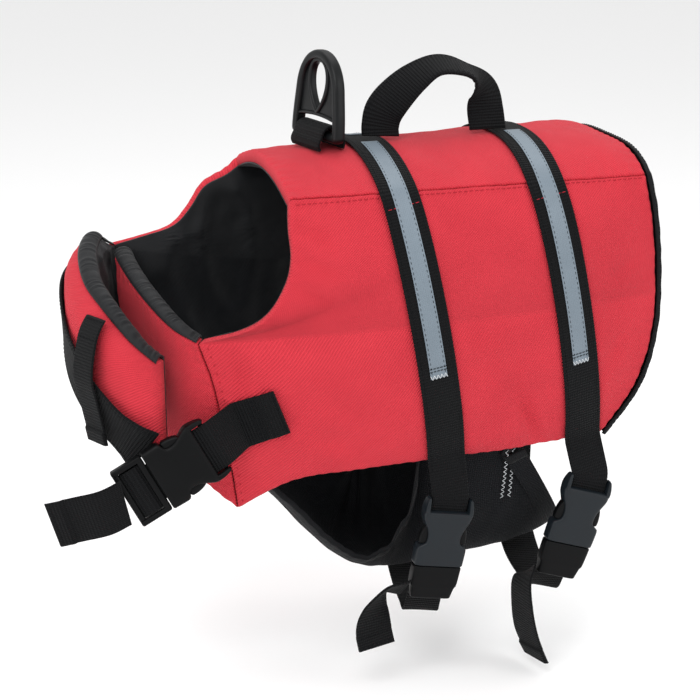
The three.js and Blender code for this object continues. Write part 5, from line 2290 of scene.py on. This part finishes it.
    def add_keeper(self) -> None:
        """The keeper tab: it hangs from the outer flap's top edge over the chest strap."""
        rows = table("v lift", (0.03, 2.8), (0.1, 2.8), (0.2, 3.2), (0.4, 5.4), (0.55, 6.2))
        u = np.full(5, 0.69)
        at = OUTER_FLAP.outer(u, rows["v"])
        out = -OUTER_FLAP.inward(u, rows["v"])[-1]
        across = unit(np.array([-out[1], out[0], 0]))
        upper = at + out * rows["lift"][:, None]
        drop = np.linspace(0.25, 1, 4)[:, None]
        lower = upper[-1] + np.array([8.0, -2, -40]) * drop
        spots = Spline(np.concatenate([upper, lower])).at(np.linspace(0, 1, 120))
        run = Run(spots, np.broadcast_to(across, spots.shape), np.broadcast_to(out, spots.shape)).even(0.8)
        thick = WEB_THICK * (1 + 0.8 * np.clip((run.along - run.along[-1] + 9) / 1.2, 0, 1))
        self.add_strip("keeper_webbing", run, KEEPER_WIDTH, thick, "keeper_tab")
        for away in (2.0, 14.0):
            here = int(np.argmin(np.abs(run.along - away)))
            top = run.lifted(WEB_THICK)
            at = top.at[here] + top.across[here] * np.linspace(-8, 8, 14)[:, None]
            self.stitches.append(sewn_line(at, np.broadcast_to(top.out[here], at.shape), 2.2, 0.7, 0.22))

    def add_loop(self) -> None:
        """The loop that holds the leash ring's bar: two feet on the back pad and an arch over the bar."""
        yaw, bar_x, clear, rise = math.radians(13), -77.0, 0.5, 8.2
        along = np.array([-math.sin(yaw), math.cos(yaw), 0])
        fore = -np.array([math.cos(yaw), math.sin(yaw), 0])
        crown = float(column(CROWN, "x", "z", bar_x))
        height = crown + BACK_SWELL + rise
        radius = math.hypot(6, 8) / 2 + clear + 0.6
        drop = rise - 0.75
        t = np.linspace(0, np.pi, 40)
        legs = radius + np.array([1.4, 2.8, 1.8])
        a = np.concatenate([legs, radius * np.cos(t), -legs[::-1]])
        sink = -drop + np.array([0.2, 2.4, 5.2])
        z = np.concatenate([sink, radius * np.sin(t), sink[::-1]])
        at = np.array([bar_x, 0, height]) + fore * a[:, None] + stack(0, 0, z)
        tangent = unit(np.gradient(at, axis=0))
        across = np.broadcast_to(along, at.shape)
        out = np.cross(across, tangent)
        out = out * np.sign(out[len(out) // 2, 2])
        run = Run(at, across, out).even(0.7).eased(4)
        self.add_strip("ring_loop_webbing", run, LOOP_WIDTH, WEB_THICK, "ring_loop")
        top = run.lifted(WEB_THICK)
        for away in (2.0, 4.5, -2.0, -4.5):
            here = int(np.argmin(np.abs(run.along - (away if away > 0 else run.along[-1] + away))))
            spot = top.at[here] + top.across[here] * np.linspace(-15.5, 15.5, 20)[:, None]
            self.stitches.append(sewn_line(spot, np.broadcast_to(top.out[here], spot.shape), 2.3, 0.8, 0.22))

    def add_handle(self) -> None:
        """The grab handle: doubled webbing between both girth straps, sewn along both edges."""
        run = free_run(HANDLE_ROWS, 260).even(1.0)
        self.add_strip("handle_webbing", run, WEB_WIDTH, HANDLE_THICK, "handle")
        for face, lift in ((1, HANDLE_THICK), (-1, 0.0)):
            top = run.lifted(lift)
            for side in (-1, 1):
                edge = top.shifted(side * (WEB_WIDTH / 2 - 2.4)).part(6, -6).even(1.4)
                self.stitches.append(sewn_line(edge.at, edge.out * face, 2.4, 1.1, 0.2))


# Hard pieces

# Columns of a buckle's sections: the place along it, and the section's four sides
SECTION = "b left right low high"


@dataclass
class Buckle:
    """A side-release buckle: a socket with two ears, and a plug with a lug in each side window."""

    label: str
    place: BucklePlace
    web: float
    ladder: bool
    mouth: float = 0.66
    round_over: float = 1.3

    def body(self, rows: Table, power: float = 7.0) -> Skin:
        """A closed body through superellipses across the buckle's length, rounded over at both ends.

        Args:
            rows: Columns b, the place along; left and right, low and high, the section's four sides.
            power: The superellipse's power: 2 is an ellipse, and a large one has tight corners.

        Returns:
            The body.
        """
        t = (1 - np.cos(np.linspace(0, np.pi, 46))) / 2
        b = rows["b"][0] + (rows["b"][-1] - rows["b"][0]) * t
        away = np.minimum(b - b[0], b[-1] - b)
        radius = min(self.round_over, (b[-1] - b[0]) / 2)
        inset = radius - np.sqrt(radius**2 - np.maximum(radius - away, 0) ** 2)
        sides = {k: column(rows, "b", k, b) for k in ("left", "right", "low", "high")}
        half_a = np.maximum((sides["right"] - sides["left"]) / 2 - inset, 0.2)[:, None]
        half_c = np.maximum((sides["high"] - sides["low"]) / 2 - inset, 0.2)[:, None]
        angle = (np.arange(36) + 0.5) * TURN / 36
        x = np.sign(np.cos(angle)) * np.abs(np.cos(angle)) ** (2 / power)
        z = np.sign(np.sin(angle)) * np.abs(np.sin(angle)) ** (2 / power)
        a = ((sides["right"] + sides["left"]) / 2)[:, None] + half_a * x
        c = ((sides["high"] + sides["low"]) / 2)[:, None] + half_c * z
        return loft(self.place.point(a, b[:, None] + 0 * a, c), stack(a, b[:, None]))

    def socket(self) -> Skin:
        """The socket: a crowned case with a window in each side, a bar, and two ears past it.

        Returns:
            Its surface.
        """
        w, h, far = self.place.width / 2, self.place.thick / 2, self.place.length
        rows = table(
            SECTION,
            *(
                (b, -w + cut, w - cut, -h + 0.2, h - drop)
                for b, cut, drop in (
                    (8.2, 1.0, 1.2),
                    (9.4, 0.2, 0.1),
                    (10.8, 0.2, 0.5),
                    (0.2 * far, 0.9, 0.4),
                    (0.26 * far, 3.0, 0.3),
                    (0.33 * far, 5.0, 0.2),
                    (0.4 * far, 5.5, 0.2),
                    (0.44 * far, 4.4, 0.2),
                    (0.458 * far, 1.6, 0.2),
                    (0.478 * far, 0.2, 0.2),
                    (0.56 * far, 0.1, 0.1),
                    (self.mouth * far, 0.3, 0.3),
                )
            ),
        )
        parts = [self.body(rows)]
        for side in (-1, 1):
            spans = [
                (b, *sorted((side * (self.web / 2 + inner), side * (w - cut))), -rise * h, rise * h)
                for b, inner, cut, rise in (
                    (-0.5, 0.6, 1.8, 0.5),
                    (3, 0.4, 0.8, 0.72),
                    (7, 0.4, 0.3, 0.9),
                    (10.5, 0, 0.3, 0.94),
                )
            ]
            parts.append(self.body(table(SECTION, *spans), 4))
        half = self.web / 2 + 1
        bar = [(b, -half, half, -3.6, -1.2) for b in (0.4, 3.6)]
        parts.append(self.body(table(SECTION, *bar), 3))
        return joined([Skin(p.points, p.faces, p.flat) for p in parts])

    def plug(self) -> Skin:
        """The plug: two lugs in the socket's windows, and a tapered end or a ladder for the strap.

        Returns:
            Its surface.
        """
        w, h, far = self.place.width / 2, self.place.thick / 2, self.place.length
        parts = []
        for side in (-1, 1):
            spans = [
                (b * far, *sorted((side * (w - 7.5), side * (w - cut))), -h + 2.4, h - 2.4)
                for b, cut in ((0.245, 4.6), (0.29, 2.2), (0.36, 0.9), (0.42, 0.7), (0.452, 1.2))
            ]
            parts.append(self.body(table(SECTION, *spans), 3.2))
        tongue = (-w + 8, w - 8, -h + 3.4, h - 3.4)
        parts.append(self.body(table(SECTION, (0.5 * far, *tongue), (self.mouth * far + 3, *tongue)), 4))
        parts += self.ladder_bars() if self.ladder else [self.tapered_end()]
        return joined([Skin(p.points, p.faces, p.flat) for p in parts])

    def tapered_end(self) -> Skin:
        """A plug's end that narrows and thins towards the strap, with a small step in both sides.

        Returns:
            Its surface.
        """
        w, h, far = self.place.width / 2, self.place.thick / 2, self.place.length
        start = self.mouth * far + SEAM
        spans = (
            (start, 0.5, 0.8, 0.8),
            (start + 0.09 * far, 0.7, 0.9, 0.9),
            (start + 0.2 * far, 1.1, 1.5, 1.1),
            (start + 0.215 * far, 2.0, 1.6, 1.1),
            (far, 3.4, 2.9, 1.8),
        )
        rows = [(b, -w + cut, w - cut, -h + low, h - high) for b, cut, high, low in spans]
        return self.body(table(SECTION, *rows))

    def ladder_bars(self) -> list[Skin]:
        """A plug's open end: two rails, a bar beside the socket and a bar at the end.

        Returns:
            Their surfaces.
        """
        w, h, far = self.place.width / 2, self.place.thick / 2, self.place.length
        start = self.mouth * far + 0.6
        boxes = (
            (start, far, -w + 0.6, -w + 4.2, 0.62),
            (start, far, w - 4.2, w - 0.6, 0.62),
            (start, start + 4.2, -w + 1, w - 1, 0.7),
            (far - 3.8, far, -w + 1, w - 1, 0.5),
        )
        return [
            self.body(table(SECTION, *((b, a0, a1, -h * r, h * r) for b in (b0, b1))), 5)
            for b0, b1, a0, a1, r in boxes
        ]

    def build(self, case: bpy.types.Material, core: bpy.types.Material) -> None:
        """Makes both halves.

        Args:
            case: The socket's plastic.
            core: The plug's plastic.
        """
        for half, skin, plastic in (("socket", self.socket(), case), ("plug", self.plug(), core)):
            node_name = f"buckle_{self.label}_{half}"
            add_piece(node_name + "_moulded", skin, plastic, [node_name])


def bezier(*corners: tuple[float, float], count: int = 24) -> Array:
    """Points of a cubic curve from its four corners, without its last point.

    Args:
        *corners: The four corners of a Bezier curve.
        count: The number of points.

    Returns:
        The points.
    """
    p = np.array(corners, float)
    t = np.linspace(0, 1, count, endpoint=False)[:, None]
    return p[0] * (1 - t) ** 3 + 3 * p[1] * t * (1 - t) ** 2 + 3 * p[2] * t * t * (1 - t) + p[3] * t**3


def evened(loop: Array, count: int) -> Array:
    """A closed outline with even steps.

    Args:
        loop: Its points, the first not repeated.
        count: The number of even steps.

    Returns:
        The new points.
    """
    closed = np.concatenate([loop, loop[:1]])
    s = np.concatenate([[0], np.cumsum(np.linalg.norm(np.diff(closed, axis=0), axis=1))])
    to = np.linspace(0, s[-1], count, endpoint=False)
    return np.stack([np.interp(to, s, closed[:, k]) for k in range(2)], axis=1)


def outwards(loop: Array) -> Array:
    """Directions out of a closed outline that runs anticlockwise, from the chord past each point."""
    chord = np.roll(loop, -2, axis=0) - np.roll(loop, 2, axis=0)
    return unit(np.stack([chord[:, 1], -chord[:, 0]], axis=1))


def torus(rings: Array) -> Skin:
    """A closed body through closed rings, the last of which joins the first.

    Args:
        rings: Points, rings by places round each.

    Returns:
        The body.
    """
    count, size = rings.shape[:2]
    at = np.arange(count * size).reshape(count, size)
    on, turn = np.roll(at, -1, axis=0), np.roll(at, -1, axis=1)
    faces = np.stack([at, on, np.roll(on, -1, axis=1), turn], -1).reshape(-1, 4)
    points = rings.reshape(-1, 3)
    return Skin(points, faces, points[:, :2]).closed_outwards()


@dataclass
class LeashRing:
    """The leash ring: a thick rounded frame, a slimmer rim round the eye, an arch, and a thin web between."""

    width: float = 56.0
    height: float = 56.0
    thick: float = 8.0
    bar: float = 6.0
    bar_x: float = -77.0
    bar_rise: float = 8.2
    yaw: float = math.radians(13)
    lean: float = math.radians(4)
    steps: int = 180
    web: float = 1.3

    def placed(self, x: Array, y: Array, z: Array) -> Array:
        """Points from places along the bar, up the plate and through it.

        Args:
            x: Places along the bar.
            y: Places up the plate.
            z: Places through it.

        Returns:
            The points, at the ring's place on the back pad.
        """
        along = np.array([-math.sin(self.yaw), math.cos(self.yaw), 0])
        back = np.array([math.cos(self.yaw), math.sin(self.yaw), 0])
        up = np.array([0, 0, math.cos(self.lean)]) + back * math.sin(self.lean)
        crown = float(column(CROWN, "x", "z", self.bar_x))
        centre = np.array([self.bar_x, 0, crown + BACK_SWELL + self.bar_rise])
        x, y, z = np.broadcast_arrays(x, y - self.bar / 2, z)
        return centre + x[..., None] * along + y[..., None] * up + z[..., None] * np.cross(along, up)

    def outline(self) -> Array:
        """The outer outline, anticlockwise: a straight bar, two sides that lean in, and a round top.

        Returns:
            The outline's points.
        """
        w, h = self.width / 2, self.height
        right = np.concatenate(
            [
                bezier((w - 4, 0), (w - 1.5, 0), (w, 1.5), (w, 4), count=10),
                bezier((w, 4), (w, 14), (w - 2, 24), (w - 3, 32)),
                bezier((w - 3, 32), (w - 5, h - 10), (13, h), (0, h)),
            ]
        )
        left = np.concatenate([[[0, h]], right[:0:-1] * [-1, 1], right[:1] * [-1, 1]])
        return evened(np.concatenate([right, left]), self.steps)

    def eye(self) -> Array:
        """The eye's outline, anticlockwise: pointed below and round above.

        Returns:
            The outline's points.
        """
        h = self.height
        right = np.concatenate(
            [
                bezier((0, 18.5), (5.5, 24), (9.3, 31), (9.3, 37.5)),
                bezier((9.3, 37.5), (9.3, h - 11.5), (5.5, h - 7.6), (0, h - 7.6)),
            ]
        )
        left = np.concatenate([[[0, h - 7.6]], right[:0:-1] * [-1, 1]])
        return evened(np.concatenate([right, left]), self.steps)

    def rod(self, loop: Array, half: float, deep: float) -> Skin:
        """A rounded rod along a closed outline: a superellipse carried round it.

        Args:
            loop: The rod's middle line.
            half: Half its width in the plate.
            deep: Half its thickness through the plate.

        Returns:
            The rod.
        """
        angle = (np.arange(20) + 0.5) * TURN / 20
        across = half * np.sign(np.cos(angle)) * np.abs(np.cos(angle)) ** 0.7
        through = deep * np.sign(np.sin(angle)) * np.abs(np.sin(angle)) ** 0.7
        flat = loop[:, None] + outwards(loop)[:, None] * across[:, None]
        return torus(self.placed(flat[..., 0], flat[..., 1], through + 0 * flat[..., 0]))

    def arch_line(self, frame_line: Array) -> Array:
        """The web's outer outline: the frame's own above the slot, and the arch over the slot.

        Args:
            frame_line: The frame's middle line.

        Returns:
            The outline's points.
        """
        spring, crown = 12.5, 15.5
        upper = frame_line[frame_line[:, 1] >= spring]
        start = int(np.argmax(np.linalg.norm(np.diff(upper, axis=0, append=upper[:1]), axis=1))) + 1
        upper = np.roll(upper, -start, axis=0)
        x = np.linspace(upper[-1, 0], upper[0, 0], 40)[1:-1]
        rise = spring + (crown - spring) * np.cos(np.pi * x / (2 * abs(upper[0, 0]))) ** 0.6
        return np.concatenate([upper, np.stack([x, rise], axis=1)])

    def build(self) -> None:
        """Makes the ring, which rides on its own body."""
        outline, eye = self.outline(), self.eye()
        frame_line = outline - outwards(outline) * (self.bar / 2)
        rim_line = eye + outwards(eye) * 1.5
        border = self.arch_line(frame_line)
        border = np.roll(border, -int(np.argmax(border[:, 1])), axis=0)
        border = evened(border, self.steps)
        inside = evened(np.roll(rim_line, -int(np.argmax(rim_line[:, 1])), axis=0), self.steps)
        share = np.linspace(0, 1, 6)[:, None]
        spread = border[:, None] * (1 - share) + inside[:, None] * share
        both = np.concatenate([spread, spread[:, ::-1]], axis=1)
        side = np.repeat([self.web, -self.web], 6)
        plate = torus(self.placed(both[..., 0], both[..., 1], side + 0 * both[..., 0]))
        arch = border[border[:, 1] < 17]
        arch = arch[np.abs(arch[:, 0]) < self.width / 2 - 4]
        arch = arch[np.argsort(arch[:, 0])]
        rods = [self.rod(frame_line, self.bar / 2, self.thick / 2), self.rod(rim_line, 1.6, 2.7)]
        skin = joined([*rods, plate, self.strut(arch)])
        add_piece("leash_ring_moulded", skin, RING_PLASTIC.build(), ["leash_ring"], body="ring")

    def strut(self, line: Array) -> Skin:
        """A rounded rod along an open line in the plate, from one side of the frame to the other.

        Args:
            line: The rod's middle line.

        Returns:
            The rod.
        """
        along = unit(np.gradient(line, axis=0))
        normal = np.stack([-along[:, 1], along[:, 0]], axis=1)
        angle = (np.arange(16) + 0.5) * TURN / 16
        flat = line[:, None] + normal[:, None] * (1.5 * np.cos(angle))[:, None]
        rings = self.placed(flat[..., 0], flat[..., 1], 2.7 * np.sin(angle) + 0 * flat[..., 0])
        skin = loft(rings, flat)
        return Skin(skin.points, skin.faces, skin.flat)


@dataclass
class Hardware:
    """The three side-release buckles and the leash ring."""

    def build(self) -> None:
        """Makes the buckles and the ring."""
        slate, dark = SLATE_PLASTIC.build(), DARK_PLASTIC.build()
        for strap in GIRTH_STRAPS:
            Buckle(strap.name, strap.buckle, 26.0, ladder=False).build(slate, dark)
        Buckle("chest", CHEST_BUCKLE, 32.0, ladder=True).build(dark, dark)
        LeashRing().build()


# Studio


@dataclass
class Studio:
    """A pale floor, soft lights, and a camera at the photograph's angle."""

    azimuth: float = -18.0
    elevation: float = 16.5
    distance: float = 1400.0
    focal: float = 2170.0
    reference: tuple[float, float, float] = (0.0, 0.0, 15.0)
    pixel: tuple[float, float] = (432.0, 147.0)
    frame_size: float = 700.0
    floor_z: float = -336.0

    def build(self) -> None:
        """Makes the camera, the lights, the world and the floor."""
        self.add_camera()
        self.add_light("key", (-700, -1000, 1100), 900, 13)
        self.add_light("fill", (900, -1100, 500), 1000, 6)
        self.add_light("top", (100, 300, 1300), 1200, 8)
        self.add_light("front", (-1300, -300, 100), 700, 4)
        self.add_world()
        self.add_floor()

    def add_camera(self) -> None:
        """The camera, placed so that the reference point falls on its pixel."""
        a, e = math.radians(self.azimuth), math.radians(self.elevation)
        right = np.array([math.cos(a), math.sin(a), 0])
        up = np.array([-math.sin(a) * math.sin(e), math.cos(a) * math.sin(e), math.cos(e)])
        back = np.array([math.sin(a) * math.cos(e), -math.cos(a) * math.cos(e), math.sin(e)])
        half = self.frame_size / 2
        x, y = ((self.pixel[0] - half), -(self.pixel[1] - half))
        scale = self.distance / self.focal
        eye = np.array(self.reference) + back * self.distance - right * x * scale - up * y * scale
        data = bpy.data.cameras.new("camera")
        data.sensor_width = 36.0
        data.lens = 36.0 * self.focal / self.frame_size
        data.clip_start, data.clip_end = 0.05, 50.0
        camera = bpy.data.objects.new("camera", data)
        basis = Matrix((right, up, back)).transposed().to_4x4()
        camera.matrix_world = Matrix.Translation(Vector(eye * MM)) @ basis
        bpy.context.scene.collection.objects.link(camera)
        bpy.context.scene.camera = camera

    def add_light(self, name: str, place: tuple[float, float, float], size: float, power: float) -> None:
        """A square soft light that faces the jacket.

        Args:
            name: Its name.
            place: Its place in millimetres.
            size: Its side in millimetres.
            power: Its power in watts.
        """
        data = bpy.data.lights.new(name, "AREA")
        data.shape, data.size, data.energy = "SQUARE", size * MM, power
        lamp = bpy.data.objects.new(name, data)
        at, target = Vector(place) * MM, Vector((-40, 0, -90)) * MM
        turn = (at - target).to_track_quat("Z", "Y").to_matrix().to_4x4()
        lamp.matrix_world = Matrix.Translation(at) @ turn
        bpy.context.scene.collection.objects.link(lamp)

    def add_world(self) -> None:
        """An even white surround."""
        world = bpy.data.worlds.new("studio")
        world.use_nodes = True
        world.node_tree.nodes["Background"].inputs[0].default_value = linear("#FFFFFF")
        world.node_tree.nodes["Background"].inputs[1].default_value = 0.85
        bpy.context.scene.world = world
        bpy.context.scene.view_settings.view_transform = "Standard"

    def add_floor(self) -> None:
        """A wide pale floor below the lowest strap."""
        mesh = bpy.data.meshes.new("floor")
        reach, z = 14.0, self.floor_z * MM
        corners = [(-reach, -reach, z), (reach, -reach, z), (reach, reach, z), (-reach, reach, z)]
        mesh.from_pydata(corners, [], [(0, 1, 2, 3)])
        floor = bpy.data.objects.new("floor", mesh)
        material = bpy.data.materials.new("pale_floor")
        material.use_nodes = True
        shader = material.node_tree.nodes["Principled BSDF"]
        shader.inputs["Base Color"].default_value = linear("#FBFBFB")
        shader.inputs["Roughness"].default_value = 0.9
        mesh.materials.append(material)
        bpy.context.scene.collection.objects.link(floor)
        floor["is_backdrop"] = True


def write_sizes() -> None:
    """Gathers the solids' box and the dressed part's box."""
    boxes = {"cad": CAD_BOUNDS, "visual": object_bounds()}
    plain = {name: [list(corner) for corner in box] for name, box in boxes.items()}


def main() -> None:
    """Builds every sub-assembly in order."""
    logging.basicConfig(level=logging.INFO, format="%(name)s: %(message)s")
    for part in (Studio(), Shell(), Linings(), Binding(), Belly(), Webbing(), Hardware()):
        part.build()
        LOG.info("%s is built", type(part).__name__)
    write_sizes()


if __name__ == "__main__":
    main()
